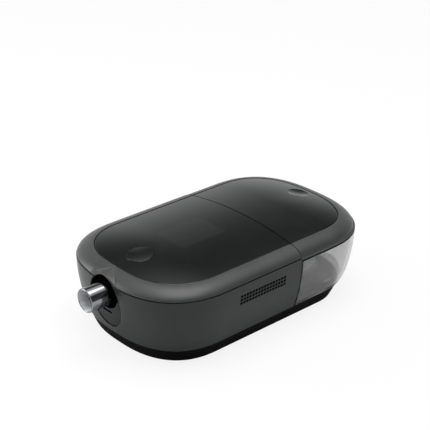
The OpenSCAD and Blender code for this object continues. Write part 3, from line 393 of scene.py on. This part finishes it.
looks = {
    "housing_plastic": {"colour": (0.0125, 0.0148, 0.0148), "rough": 0.36, "grain": 3200.0, "relief": 0.22,
                        "constants": {"Specular IOR Level": 0.42}},
    "plate_plastic": {"colour": (0.005, 0.0068, 0.0072), "rough": 0.45, "grain": 3200.0, "relief": 0.2,
                      "constants": {"Specular IOR Level": 0.22}},
    "band_plastic": {"colour": (0.062, 0.064, 0.063), "rough": 0.38, "grain": 3600.0, "relief": 0.16, "vary": 0.08,
                     "constants": {"Specular IOR Level": 0.45}},
    "glossy_panel": {"colour": (0.006, 0.0078, 0.0072), "rough": 0.2, "grain": 900.0, "relief": 0.02, "cloud": 18.0,
                     "roughVary": 0.05, "pattern": screenPatch, "constants": {"Specular IOR Level": 0.5}},
    "button_gloss": {"colour": (0.0075, 0.0092, 0.0086), "rough": 0.2, "grain": 900.0, "relief": 0.02, "cloud": 60.0,
                     "roughVary": 0.05, "constants": {"Specular IOR Level": 0.5}},
    "base_plastic": {"colour": (0.0015, 0.0015, 0.0018), "rough": 0.6, "grain": 2400.0, "relief": 0.2,
                     "constants": {"Specular IOR Level": 0.06}},
    "recess_plastic": {"colour": (0.003, 0.003, 0.0035), "rough": 0.22, "grain": 1100.0, "relief": 0.03,
                       "constants": {"Specular IOR Level": 0.5}},
    "outlet_plastic": {"colour": (0.26, 0.27, 0.285), "rough": 0.08, "grain": 1500.0, "relief": 0.03,
                       "cloud": 70.0, "vary": 0.05, "stretch": (1, 0.15, 1), "constants": {"Metallic": 1.0}},
    # the lining's pattern paints shade that turns it greyer deeper in the bore
    "outlet_lining": {"colour": (0.95, 0.96, 0.97), "rough": 0.25, "grain": 1500.0, "relief": 0.05, "vary": 0.03,
                      "pattern": paleMouthDeepShade},
    "smoky_tank": {"colour": (0.60, 0.605, 0.6), "rough": 0.06, "grain": 700.0, "relief": 0.04,
                   "cloud": 22.0, "vary": 0.07, "roughVary": 0.06,
                   "constants": {"Transmission Weight": 1.0, "IOR": 1.46}},
    "inner_plastic": {"colour": (0.16, 0.165, 0.17), "rough": 0.5, "grain": 2000.0, "relief": 0.2},
    "silicone": {"colour": (0.42, 0.43, 0.45), "rough": 0.42, "grain": 1700.0, "relief": 0.12,
                 "constants": {"Subsurface Weight": 0.15, "Subsurface Scale": 0.004}},
    "black_rubber": {"colour": (0.016, 0.016, 0.016), "rough": 0.7, "grain": 1900.0, "relief": 0.4, "vary": 0.2},
    "foam": {"colour": (0.035, 0.035, 0.036), "rough": 0.95, "relief": 0.9, "depth": 0.0006, "pattern": openFoam},
    "filter_media": {"colour": (0.8, 0.8, 0.76), "rough": 0.95, "relief": 0.7, "depth": 0.0003, "pattern": feltFibres},
    "circuit_board": {"colour": (0.02, 0.13, 0.07), "rough": 0.35, "relief": 0.25, "pattern": boardTracks},
    "screen_glass": {"colour": (0.02, 0.023, 0.025), "rough": 0.12, "grain": 900.0, "relief": 0.03},
    "steel": {"colour": (0.6, 0.6, 0.61), "rough": 0.32, "stretch": (1, 1, 0.06), "relief": 0.12,
              "constants": {"Metallic": 1.0}},
    "copper_windings": {"colour": (0.62, 0.3, 0.14), "rough": 0.35, "relief": 0.8, "depth": 0.0003,
                        "pattern": woundWireGrooveShade, "constants": {"Metallic": 0.9}},
    "contact_metal": {"colour": (0.74, 0.56, 0.27), "rough": 0.28, "relief": 0.1, "constants": {"Metallic": 1.0}},
    "magnet": {"colour": (0.2, 0.2, 0.21), "rough": 0.42, "relief": 0.2, "constants": {"Metallic": 0.8}},
    "aluminium_plate": {"colour": (0.7, 0.71, 0.72), "rough": 0.36, "stretch": (1, 0.05, 1), "relief": 0.12,
                        "constants": {"Metallic": 1.0}},
    "heater_film": {"colour": (0.34, 0.09, 0.05), "rough": 0.4, "relief": 0.4, "depth": 0.0002,
                    "pattern": heaterTracks},
    "white_plastic": {"colour": (0.78, 0.78, 0.75), "rough": 0.45, "grain": 1800.0, "relief": 0.12, "vary": 0.05},
}
finishes = {name: makeFinish(name, look) for name, look in looks.items()}
print("stage: finishes made,", len(finishes))

slotOf = {part["node"]: part["material_slot"] for part in frame["record"]["subparts"]}
for nodeName, node in nodes.items():
    node.data.materials.clear()
    node.data.materials.append(finishes[slotOf[nodeName]])

# housing
housing = {
    "rows": 26, "innerRows": 14, "footTurn": 0.3, "topTurn": 0.15,
    "grooveHigh": 0.85, "grooveDeep": 1.8,  # the dark line under the band
    "outsideX": 84.0, "rearFaceY": 24.3,    # clear of the side; just before the rear end
    "grilleColumns": 16, "grilleRows": 3, "grillePitch": 3.4, "grilleHole": 2.6, "grilleDeep": 10.0,
    "grilleY": -20.8, "grilleZ": 52.0,
    "doorY": (-58.0, -22.0), "doorZ": (30.05, 56.0), "doorDeep": 14.0,
    "flapY": (1.0, 21.0), "flapZ": (45.35, 55.5), "flapDeep": 10.0,
    "inletY": 8.0, "inletZ": 27.0, "inletRadius": 6.05, "inletDeep": 14.0,
    "linkX": (0.0, -47.0), "linkY": 21.5, "linkZ": 49.5, "linkRadius": 9.05, "linkDeep": 5.0,  # air ways to the tank
}


def wallRings():
    # outer face going up with a groove under the band, inner face coming down; edges turn in a little
    v, wall, cut = housing, shell["wall"], shell["frontCut"]
    low, high = shell["baseZ"], shell["seamZ"]
    grooveZ = high - v["grooveHigh"]
    z = np.linspace(low, grooveZ, v["rows"])[1:-1]
    z = np.concatenate([[low, low + v["footTurn"]], z, [grooveZ - v["topTurn"], grooveZ]])
    inset = sideIn(z)
    inset[0] += v["footTurn"]
    inset[-1] += v["topTurn"]
    outer = endRings(np.concatenate([inset, [v["grooveDeep"]] * 2]), np.concatenate([z, [grooveZ, high]]), cut)
    down = np.linspace(high, low, v["innerRows"])
    return np.concatenate([outer, endRings(sideIn(down) + wall, down, cut - wall)])


def buildHousing():
    # the wall with its grille, two hatches, power inlet, outlet recess and the two air ways at the rear
    v = housing
    base = shellMesh("housing_shell", wallRings())
    cols = v["grilleY"] + (np.arange(v["grilleColumns"]) - (v["grilleColumns"] - 1) / 2) * v["grillePitch"]
    rows = v["grilleZ"] + (np.arange(v["grilleRows"]) - (v["grilleRows"] - 1) / 2) * v["grillePitch"]
    y, z = [a.ravel() for a in np.meshgrid(cols, rows)]
    half = v["grilleHole"] / 2
    out = v["outsideX"]
    holes = blocks("holes", np.stack([np.full(y.size, out - v["grilleDeep"]), y - half, z - half], 1),
                   np.stack([np.full(y.size, out), y + half, z + half], 1))
    hatches = blocks("hatches", [[-out, v["doorY"][0], v["doorZ"][0]], [-out, v["flapY"][0], v["flapZ"][0]]],
                     [[v["doorDeep"] - out, v["doorY"][1], v["doorZ"][1]],
                      [v["flapDeep"] - out, v["flapY"][1], v["flapZ"][1]]])
    oval = prism("oval", ovalRing(0, recess["startY"]), (0, recess["housingDeep"], 0))
    inlet = rod("inlet", (-out, v["inletY"], v["inletZ"]), (1, 0, 0), v["inletRadius"], v["inletDeep"], 64)
    links = [rod("link", (x, v["linkY"], v["linkZ"]), (0, 1, 0), v["linkRadius"], v["linkDeep"], 64)
             for x in v["linkX"]]
    return carved(base, oval, holes, hatches, inlet, joined("links", *links))


def paintFaces(piece, finish, choose):
    # a second finish on the faces whose centre and direction the test picks
    mesh = piece.data
    mesh.materials.append(finish)
    count = len(mesh.polygons)
    centres, directions, index = np.empty(count * 3), np.empty(count * 3), np.zeros(count, np.int32)
    mesh.polygons.foreach_get("center", centres)
    mesh.polygons.foreach_get("normal", directions)
    index[choose(centres.reshape(-1, 3) * 1000, directions.reshape(-1, 3))] = len(mesh.materials) - 1
    mesh.polygons.foreach_set("material_index", index)


casing = place("housing_shell", buildHousing(), "main", "housing_plastic", finishes["housing_plastic"],
               "housing", edge=0.22)
paintFaces(casing, finishes["recess_plastic"], lambda c, n: (c[:, 1] > housing["rearFaceY"]) & (n[:, 1] > 0.9))
print("stage: housing made")

# band with the hood over the outlet
band = {
    "rollStep": 1.5, "frontIn": 0.5, "lidIn": 1.65, "ledge": 4.0,  # lower edges' insets; the ledge under the panel
    "hoodX": -2.4, "hoodFrom": -115.6, "hoodTo": -130.1, "hoodHigh": 75.9, "hoodFall": 1.2, "hoodHalf": 26.0,
    "hoodLead": 6.0, "hoodAbove": 0.35, "sideCurve": (0.12, 0.0205), "melt": 0.12,
    "roomGrow": 1.85, "roomY": -128.6, "roomDeep": 16.5, "roomTop": 70.45,  # room for the recess's lining
    "lidLow": 64.8, "lidFoot": ((0.6, 0.0), (0.08, 0.15), (0.0, 0.5), (0.2, 0.82), (1.6, 1.2)),  # insets and heights
}


def bandProfile():
    # inset and height of the band's outer roll: (inward / 14.9) and (up / 8.4) to the power 1.61 add up to one
    t = np.radians(np.arange(90, -0.01, -band["rollStep"]))
    inset = shell["bandIn"] * (1 - bow(np.sin(t), shell["rollPower"]))
    z = shell["seamZ"] + (shell["edgeZ"] - shell["seamZ"]) * bow(np.cos(t), shell["rollPower"])
    return inset, z


def hoodHeight(x, y):
    # the hood's top: a ridge that sinks towards its lip and curves down to both sides
    v = np.clip((band["hoodFrom"] - y) / (band["hoodFrom"] - band["hoodTo"]), 0, 1)
    centre = band["hoodHigh"] - band["hoodFall"] * v
    curve = band["sideCurve"][0] * (1 - v) ** 3 + band["sideCurve"][1]
    return centre - curve * (x - band["hoodX"]) ** 2


def raiseHood(outer):
    # the hood lifted out of the band's front and melted into it at its sides
    v = band
    x, y, high = outer[..., 0], outer[..., 1], outer[..., 2].copy()
    near = (np.abs(x) < v["hoodHalf"]) & (y < v["hoodFrom"] + v["hoodLead"]) & (y > v["hoodTo"])
    near &= high > shell["seamZ"] + v["hoodAbove"]
    wanted = hoodHeight(x, y)
    share = np.clip(0.5 + 0.5 * (wanted - high) / v["melt"], 0, 1)
    lifted = high + (wanted - high) * share + v["melt"] * share * (1 - share) * 0.25
    outer[..., 2] = np.where(near, lifted, high)


def ringsAt(rows):
    # rings from rows of inset, height and cut
    return endRings(*np.array(rows, float).T)


def buildBand(front):
    # the roll's outside, then the ledge under the panel and the inside of the wall
    v, wall, edge, thick = band, shell["wall"], shell["edgeZ"], shell["panelWall"]
    cut = shell["frontCut"] if front else shell["rearCut"]
    turnIn = v["frontIn"] if front else v["lidIn"]
    inset, z = bandProfile()
    outer = endRings(turnIn + (shell["bandIn"] - turnIn) * inset / shell["bandIn"], z, cut)
    ledgeIn = shell["bandIn"] + v["ledge"]
    under = [(shell["bandIn"], edge - thick, cut), (ledgeIn, edge - thick, cut - wall),
             (ledgeIn, edge - 2 * thick, cut - wall)]
    if front:
        raiseHood(outer)
        return np.concatenate([outer, ringsAt(under + [(wall, shell["seamZ"], cut - wall)])])
    foot = [(inward, v["lidLow"] + up, cut) for inward, up in v["lidFoot"]]
    under += [(wall, shell["seamZ"] - 1, cut - wall), (wall, v["lidLow"], cut - wall)]
    return turned(np.concatenate([ringsAt(foot), outer, ringsAt(under)]))


def buildHoodedBand():
    # the front band with the recess's mouth and room for the recess's lining cut out
    v = band
    mesh = shellMesh("top_band_shell", buildBand(True))
    mouth = prism("mouth", ovalRing(0, recess["startY"]), (0, recess["bandDeep"], 0))
    wellRoom = carved(prism("room", ovalRing(v["roomGrow"], v["roomY"]), (0, v["roomDeep"], 0)),
                      blocks("below", [[-40, -140, 60]], [[40, -100, v["roomTop"]]]), operation="INTERSECT")
    return carved(mesh, mouth, wellRoom)


place("top_band_shell", buildHoodedBand(), "main", "band_plastic", finishes["band_plastic"], "top_band", edge=0.25)

lidBand = {"earX": 10.0, "earWide": 6.0, "hingeY": 131.0, "hingeZ": 64.0, "knuckle": 2.4, "gap": 0.4,
           "notchY": (127.6, 136.0), "notchZ": (62.0, 66.8)}


def hingeKnuckle(name, bore, soft, fromX, wide):
    # a sleeve round the lid's hinge pin, with softened rims
    r = lidBand["knuckle"]
    profile = [(bore, 0), (r - soft, 0), (r, soft), (r, wide - soft), (r - soft, wide), (bore, wide)]
    return revolved(name, profile, (fromX, lidBand["hingeY"], lidBand["hingeZ"]), (1, 0, 0), 48)


def buildLidBand():
    # the lid's band with notches for the tank's two hinge ears, and the knuckle between them
    v = lidBand
    inner, outerX = v["earX"] - v["gap"], v["earX"] + v["earWide"] + v["gap"]
    (nearY, farY), (low, high) = v["notchY"], v["notchZ"]
    notches = blocks("notches", [[inner, nearY, low], [-outerX, nearY, low]],
                     [[outerX, farY, high], [-inner, farY, high]])
    mesh = carved(shellMesh("lid_band_shell", buildBand(False)), notches)
    web = blocks("web", [[-inner, 128.7, 65.4]], [[inner, 130.6, 66.2]])
    return joined("lid_band_shell", mesh, hingeKnuckle("knuckle", 1.25, 0.25, -inner, 2 * inner), web)


place("lid_band_shell", buildLidBand(), "lid", "band_plastic", finishes["band_plastic"], "lid_band", edge=0.25)
print("stage: bands made")

# glossy panels and the button
panel = {"gap": 0.55, "edgeRound": 1.0, "dish": (0.9, 0.8), "button": (0.0, -91.0, 79.9185), "buttonRadius": 12.6,
         "buttonGap": 0.4, "rim": 0.5, "rimWide": 0.9,
         "scoopY": 101.5, "scoopRadius": 11.0, "scoopDeep": 1.4, "normal": (0.0, -0.12194, 0.99254)}


def panelRings(cut):
    # underside from the spine out, a rounded edge, then the dome back to the spine
    r = panel["edgeRound"]
    rho = np.append(np.linspace(0, 0.9, 12), 1.0)
    a = np.radians([0, 22, 45, 68, 90])
    below = domeRings(rho, shell["panelWall"], cut, panel["gap"])
    edge = domeRings(np.ones(5), r * (1 - np.sin(a)), cut, panel["gap"] + r * (1 - np.cos(a)))
    top = domeRings(np.linspace(0.985, 0, 36), 0.0, cut, panel["gap"])
    return np.concatenate([below, edge, top])


frontPanel = shellMesh("top_panel_shell", panelRings(shell["frontCut"]), closeRows=False)
normal = np.array(panel["normal"])
centre = np.array(panel["button"])
buttonRoom = rod("buttonRoom", centre - 8 * normal, normal, panel["buttonRadius"] + panel["buttonGap"], 16, 128)
frontPanel = carved(frontPanel, buttonRoom)
place("top_panel_shell", frontPanel, "main", "glossy_panel", finishes["glossy_panel"], "top_panel", edge=0.3)

rearRings = turned(panelRings(shell["rearCut"]))
lidPanel = shellMesh("lid_panel_shell", rearRings, closeRows=False)
# the scoop is the cap of a ball whose centre lies along the panel's own direction there
scoopBall = (panel["scoopRadius"] ** 2 + panel["scoopDeep"] ** 2) / (2 * panel["scoopDeep"])
panelReach = shell["halfLength"] - shell["bandIn"] - shell["run"]
scoopRho = (panel["scoopY"] - shell["run"]) / panelReach
scoopTilt = math.atan(2 * shell["crown"] * scoopRho / panelReach)
scoopNormal = np.array([0, math.sin(scoopTilt), math.cos(scoopTilt)])
angle = np.linspace(-math.pi / 2, -math.pi / 2 + 0.45, 40)
ballProfile = scoopBall * np.stack([np.cos(angle), np.sin(angle)], 1)
ballProfile = np.concatenate([ballProfile, [[0, ballProfile[-1, 1]]]])
ballCentre = np.array([0, panel["scoopY"], float(domeZ(scoopRho))]) + (scoopBall - panel["scoopDeep"]) * scoopNormal
ball = revolved("ball", ballProfile, ballCentre, scoopNormal, 96, False)
lidPanel = carved(lidPanel, ball)
place("lid_panel_shell", lidPanel, "lid", "glossy_panel", finishes["button_gloss"], "lid_panel", edge=0.3)


def buildButton():
    # a cap with a rounded rim and a dished top, on a flange and a short stem
    r = panel["buttonRadius"]
    a = np.radians(np.linspace(0, 90, 6))
    soft, dishRadius = panel["rim"], r - panel["rimWide"]
    rim = np.stack([r - soft + soft * np.cos(a), -0.6 + soft * np.sin(a)], 1)
    out = np.linspace(dishRadius, 0, 28)
    dish = np.stack([out, -panel["dish"][0] + panel["dish"][1] * (out / dishRadius) ** 2], 1)
    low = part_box("start_button")[0].z * 1000
    stem = -(panel["button"][2] - low) + 0.6
    below = [(0, stem), (3, stem), (3, -3.6), (r + 0.9, -3.6), (r + 0.9, -2.6), (r, -2.6)]
    profile = np.concatenate([below, rim, dish])
    return revolved("start_button_cap", profile, panel["button"], panel["normal"], 128, False)


place("start_button_cap", buildButton(), "button", "glossy_panel", finishes["button_gloss"], "start_button")
print("stage: panels and button made")

# outlet
outlet = {
    "portZ": 56.0, "portRadius": 11.0, "bore": 9.4, "mouthY": -151.0, "seat": 20.0, "lip": 0.8, "barbY": -103.3,
    "wellWall": 1.8, "ceiling": 68.6, "frontStop": -129.0, "backY": -105.0, "linedTo": -108.0,
    "plateTop": 41.5, "slotZ": 38.0, "slotWide": 12.4, "slotHigh": 2.4, "cuffRoom": 17.0, "hornHigh": 11.5,
}


def frontFaceY(x, z):
    # the y of the rounded front end at a height, solved from its plan curve
    side = shell["halfWidth"] - sideIn(z)
    reach = shell["halfLength"] - sideIn(z) - shell["run"]
    share = np.clip(1 - (np.abs(x) / side) ** shell["crossPower"], 0, 1) ** (1 / shell["alongPower"])
    return -shell["run"] - reach * share


def buildWell():
    # the cup's lining: the oval carried inwards from the curved front, under a flat ceiling, to a back wall
    v, steps = outlet, 128
    depth = np.linspace(0, 1, 26)[:, None]
    deepest = v["backY"] - v["wellWall"]
    skins = []
    for grow in (-0.08, -0.6):
        x, _, z = ovalRing(grow, 0, steps).T
        startY = np.maximum(frontFaceY(x, np.minimum(z, shell["seamZ"])) + 0.5, v["frontStop"])
        y = startY + (deepest - startY) * depth
        sink = np.clip((y + 119.5) / 3.0, 0, 1)
        ceiling = np.where(z > v["ceiling"], z + (v["ceiling"] - z) * sink, z)
        skins.append(np.stack([np.broadcast_to(x, y.shape), y, ceiling], -1))
    lining = np.concatenate([skins[0], skins[1][::-1]])
    cup = meshFrom("lining", lining, gridFaces(len(lining), steps, True)[:, ::-1], recalc=True)
    edge = ovalRing(-0.1, deepest - 0.02, steps)
    edge[:, 2] = np.minimum(edge[:, 2], v["ceiling"])
    back = prism("back", edge, (0, v["wellWall"], 0))
    hole = rod("hole", (0, deepest - 3.2, v["portZ"]), (0, 1, 0), v["portRadius"] - 0.35, 10, 96)
    return joined("outlet_well_cup", cup, carved(back, hole))


place("outlet_well_cup", buildWell(), "main", "recess_plastic", finishes["recess_plastic"], "outlet_well")


def buildPlate():
    # a piece of the front face inside the oval, a little behind the housing, with a slot
    v = outlet
    up, down = np.linspace(19, 60, 24), np.linspace(60, 19, 12)
    plate = shellMesh("plate", np.concatenate([
        endRings(sideIn(up) + 0.5, up, -60), endRings(sideIn(down) + 0.5 + shell["wall"], down, -62.4)]))
    keep = carved(prism("keep", ovalRing(-1.05, -135), (0, 20, 0)),
                  blocks("low", [[-30, -140, 10]], [[30, -100, v["plateTop"] + v["hornHigh"]]]), operation="INTERSECT")
    plate = carved(plate, keep, operation="INTERSECT")
    cuff = rod("cuff", (0, -136, v["plateTop"] + v["cuffRoom"]), (0, 1, 0), v["cuffRoom"], 24, 128)
    half, low, high = v["slotWide"] / 2, v["slotZ"] - v["slotHigh"] / 2, v["slotZ"] + v["slotHigh"] / 2
    return carved(carved(plate, cuff), blocks("slot", [[-half, -135, low]], [[half, -110, high]]))


place("contact_plate_front", buildPlate(), "main", "housing_plastic", finishes["plate_plastic"],
      "contact_plate", edge=0.3)


def buildPort():
    # tube with a rounded mouth, a step where the hose's seat ends, a flange and a barb, all as one closed profile
    v = outlet
    r, b, lip, seat, long = v["portRadius"], v["bore"], v["lip"], v["seat"], v["barbY"] - v["mouthY"]
    a = np.radians(np.linspace(180, 90, 7))
    lipIn = np.stack([b + lip + lip * np.cos(a), lip - lip * np.sin(a)], 1)
    a = np.radians(np.linspace(90, 0, 7))
    lipOut = np.stack([r - lip + lip * np.cos(a), lip - lip * np.sin(a)], 1)
    outside = [(r, seat - 0.2), (r - 0.4, seat + 0.2), (r - 0.4, long - 1.7), (r + 2, long - 1.7), (r + 2, long)]
    barb = [(r - 1, long), (r - 1, long + 7.6), (r - 1.4, long + 8), (r - 2.4, long + 8), (r - 2.4, long)]
    profile = np.concatenate([lipIn, lipOut, outside, barb, [(b, long - 1)]])
    return revolved("outlet_tube", profile, (0, v["mouthY"], v["portZ"]), (0, 1, 0), 128)


def inBore(centres, directions):
    # the faces of the tube's inside
    across = np.hypot(centres[:, 0], centres[:, 2] - outlet["portZ"])
    return (across < outlet["bore"] + 0.1) & (centres[:, 1] < outlet["linedTo"])


tube = place("outlet_tube", buildPort(), "main", "outlet_plastic", finishes["outlet_plastic"],
             "outlet_port", sharp=25)
paintFaces(tube, finishes["outlet_lining"], inBore)
print("stage: outlet made")

# water tank
tank = {"bottomZ": 15.2, "rimZ": 63.6, "round": 9.0, "pullIn": 9.0, "floor": 3.0,
        "plate": (0.0, 74.0, 36.0), "portRadius": 11.0,  # the metal plate's centre and radius; the air ways
        "sealIn": 0.8, "sealWide": 3.6, "sealZ": (63.65, 64.8)}


def tankShort(z):
    # the tank's lower outer end is a quarter round: pulled in by 9 times one minus the root of 1 - u squared
    u = np.clip(1 - (np.asarray(z, float) - tank["bottomZ"]) / tank["round"], 0, 1)
    return tank["pullIn"] * (1 - np.sqrt(1 - u * u))


def buildTank():
    # outside going up, the rim, inside going down to the floor
    v = tank
    a = np.radians(np.linspace(0, 90, 15))
    low = v["bottomZ"] + v["round"] * (1 - np.cos(a))
    z = np.concatenate([low, np.linspace(v["bottomZ"] + v["round"], v["rimZ"] - 0.4, 12)[1:]])
    cut, wall, rimIn = shell["rearCut"], shell["wall"], float(sideIn(v["rimZ"]))
    outer = endRings(sideIn(z), z, cut, tankShort(z))
    rim = ringsAt([(rimIn + 0.4, v["rimZ"], cut), (rimIn + 2.0, v["rimZ"], cut - 2.0)])
    floorZ = v["bottomZ"] + v["floor"]
    down = np.append(z[z > floorZ][::-1], floorZ)
    inner = endRings(sideIn(down) + wall, down, cut - wall, tankShort(down))
    rings = turned(np.concatenate([outer, rim, inner]))
    mesh = shellMesh("tank", rings, closeRows=False, capFirst=True, capLast=True)
    tools = [rod("plateRoom", (v["plate"][0], v["plate"][1], 14), (0, 0, 1), v["plate"][2], 6, 96)]
    tools += [rod("port", (x, 24, housing["linkZ"]), (0, 1, 0), v["portRadius"], 8, 64) for x in housing["linkX"]]
    tools.append(blocks("notch", [[-9.9, 127, 61.1]], [[9.9, 135, 65]]))
    return carved(mesh, *tools)


place("tank_shell", buildTank(), "tank", "smoky_tank", finishes["smoky_tank"], "tank_body", sharp=38)


def buildEars():
    # the tank's two hinge ears, each a knuckle on a web
    wide, parts = lidBand["earWide"], []
    for x in (lidBand["earX"], -lidBand["earX"] - wide):
        parts.append(hingeKnuckle("ear", 1.22, 0.3, x, wide))
        parts.append(blocks("web", [[x + 0.2, 128.4, 61.8]], [[x + wide - 0.2, 129.9, 63.9]]))
    return joined("hinge_ears", *parts)


place("hinge_ears", buildEars(), "tank", "smoky_tank", finishes["inner_plastic"], "tank_body")


def buildSeal():
    # a strip between the tank's rim and the lid, open at the hinge
    near, far, (low, high) = tank["sealIn"], tank["sealIn"] + tank["sealWide"], tank["sealZ"]
    section = [(near, low), (near, low + 0.25), (near + 0.2, high), (far, high), (far, low)]
    rings = ringsAt([(inset, z, shell["rearCut"] - inset) for inset, z in section])
    half = lidBand["earX"] + lidBand["earWide"] + lidBand["gap"]
    return carved(shellMesh("seal", turned(rings)), blocks("gap", [[-half, 127.6, 62]], [[half, 136, 66]]))


place("lid_seal_ring", buildSeal(), "lid", "black_rubber", finishes["black_rubber"], "lid_seal")
print("stage: tank made")

# base
skirt = {"gap": 0.5, "proud": 0.05, "low": 1.0, "high": 14.3, "round": 2.2, "thick": 1.2,
         "room": 10.0}  # how far the base stops short of the tank's end, for the fingers


def fullRings(inset, z, short):
    # closed rings with both rounded ends; only the +Y end is pulled in by "short"
    inset, z, short = [np.atleast_1d(np.asarray(v, float)) for v in np.broadcast_arrays(inset, z, short)]
    xReach, yReach = shell["halfWidth"] - inset, shell["halfLength"] - inset - shell["run"]
    cos, sin = bow(np.cos(endAngles), shell["crossPower"]), bow(np.sin(endAngles), shell["alongPower"])
    near = np.stack([xReach[:, None] * cos, -shell["run"] + yReach[:, None] * sin], -1)
    far = np.stack([-xReach[:, None] * cos, shell["run"] - (yReach - short)[:, None] * sin], -1)
    ring = np.concatenate([near, far], 1)
    return np.concatenate([ring, np.repeat(z[:, None, None], ring.shape[1], 1)], -1)


def buildSkirt():
    # the base's smooth outside: it follows the pan's side and turns in at its foot
    v = skirt
    a = np.radians(np.linspace(0, 90, 9))
    foot = v["low"] + v["round"] * (1 - np.cos(a))
    z = np.concatenate([foot, np.linspace(v["low"] + v["round"], v["high"], 7)[1:]])
    turn = np.concatenate([v["round"] * 0.7 * (1 - np.sin(a)), np.zeros(6)])
    short = lambda h: v["room"] * (1.4 - 0.4 * (h - shell["footZ"]) / 12)
    outer = fullRings(sideIn(z) + v["gap"] - v["proud"] + turn, z, short(z))
    back = np.array([v["high"], 4.0, 1.2])
    inner = fullRings(sideIn(back) + v["gap"] + v["thick"] + np.array([0, 0, 1.2]), back, short(back))
    return shellMesh("skirt", np.concatenate([outer, inner]))


place("base_skirt", buildSkirt(), "main", "base_plastic", finishes["base_plastic"])
print("stage: base made")

# floor, light and camera
light = {
    "skyLow": 0.07, "skyHigh": 1.05, "horizonLeft": 0.85, "horizonRight": 0.05,
    "floorZ": -0.6, "floorReach": 4000.0, "floorGlow": 0.86,
    "leftPlace": (-1.1, -0.9, 0.5), "leftTarget": (0, -0.05, 0.04), "leftSize": (0.7, 0.9), "leftPower": 8.4,
    "topPlace": (0.1, 0.1, 1.7), "topTarget": (0, 0, 0.05), "topSize": (1.2, 1.2), "topPower": 16.0,
}


def seenDirectly(wire):
    # 1 for rays from the camera and rays passed on through the clear tank, else 0
    ray = [wire.add("ShaderNodeLightPath", out=k) for k in ("Is Camera Ray", "Is Transmission Ray")]
    return (ray[0] + ray[1]).between(0.0, 1.0)


def makeFloor():
    # plain pale paper, lighter where it is looked at than where it lights the object
    reach, z = light["floorReach"], light["floorZ"]
    mesh = meshFrom("floor", [[-reach, -reach, z], [reach, -reach, z], [reach, reach, z], [-reach, reach, z]],
                    [[0, 1, 2, 3]])
    floor = bpy.data.objects.new("floor", mesh)
    bpy.context.scene.collection.objects.link(floor)
    finish = bpy.data.materials.new("floor_paper")
    finish.use_nodes = True
    tree = finish.node_tree
    tree.nodes.clear()
    wire = Wire(tree)
    seen = seenDirectly(wire)
    mirrored = (seen + wire.add("ShaderNodeLightPath", out="Is Glossy Ray")).between(0.0, 1.0)
    tone = wire.mixColour(mirrored, (0.38, 0.38, 0.38, 1), (0.92, 0.92, 0.92, 1))
    paper = wire.add("ShaderNodeBsdfDiffuse", {}, {"Color": tone})
    glow = wire.add("ShaderNodeEmission", {}, {"Color": (1, 1, 1, 1), "Strength": 1.0})
    mixed = wire.add("ShaderNodeMixShader", {}, {0: seen * light["floorGlow"], 1: paper, 2: glow})
    end = tree.nodes.new("ShaderNodeOutputMaterial")
    tree.links.new(mixed.socket, end.inputs["Surface"])
    mesh.materials.append(finish)


def makeSky():
    # darker near the horizon and bright overhead for the object, plain white where it is looked at
    world = bpy.data.worlds.new("studio")
    bpy.context.scene.world = world
    world.use_nodes = True
    tree = world.node_tree
    tree.nodes.clear()
    wire = Wire(tree)
    where = wire.add("ShaderNodeTexCoord", out=0)
    side, up = [wire.add("ShaderNodeSeparateXYZ", {}, {"Vector": where}, out=k) for k in (0, 2)]
    leftness = 1 - side.between(-0.35, 0.35)
    glow = light["horizonRight"] + (light["horizonLeft"] - light["horizonRight"]) * leftness
    horizon = (1 - up.between(0.02, 0.64)) * glow
    level = light["skyLow"] + horizon + (light["skyHigh"] - light["skyLow"]) * up.between(0.66, 0.84)
    seen = seenDirectly(wire)
    sky = wire.add("ShaderNodeBackground", {}, {"Color": (1, 1, 1, 1), "Strength": seen + (1 - seen) * level})
    end = tree.nodes.new("ShaderNodeOutputWorld")
    tree.links.new(sky.socket, end.inputs["Surface"])


def turnedTo(target, spot):
    # the rotation that makes a lamp or camera at the spot look at the target
    return (Vector(target) - Vector(spot)).to_track_quat("-Z", "Y").to_euler()


def addLamp(name, spot, target, size, power):
    lamp = bpy.data.lights.new(name, "AREA")
    lamp.shape, lamp.size, lamp.size_y, lamp.energy = "RECTANGLE", size[0], size[1], power
    body = bpy.data.objects.new(name, lamp)
    body.location, body.rotation_euler = spot, turnedTo(target, spot)
    bpy.context.scene.collection.objects.link(body)


makeFloor()
makeSky()
addLamp("left_softbox", light["leftPlace"], light["leftTarget"], light["leftSize"], light["leftPower"])
addLamp("top_softbox", light["topPlace"], light["topTarget"], light["topSize"], light["topPower"])

view = {"lens": 102.4, "sensor": 36.0, "place": (0.74007, -0.65965, 0.57571), "target": (-0.0109, 0.0050, 0.08175)}
camera = bpy.data.cameras.new("camera")
camera.lens, camera.sensor_width = view["lens"], view["sensor"]
viewer = bpy.data.objects.new("camera", camera)
viewer.location, viewer.rotation_euler = view["place"], turnedTo(view["target"], view["place"])
bpy.context.scene.collection.objects.link(viewer)
bpy.context.scene.camera = viewer
bpy.context.scene.view_settings.view_transform = "Standard"
print("stage: floor, light and camera set")
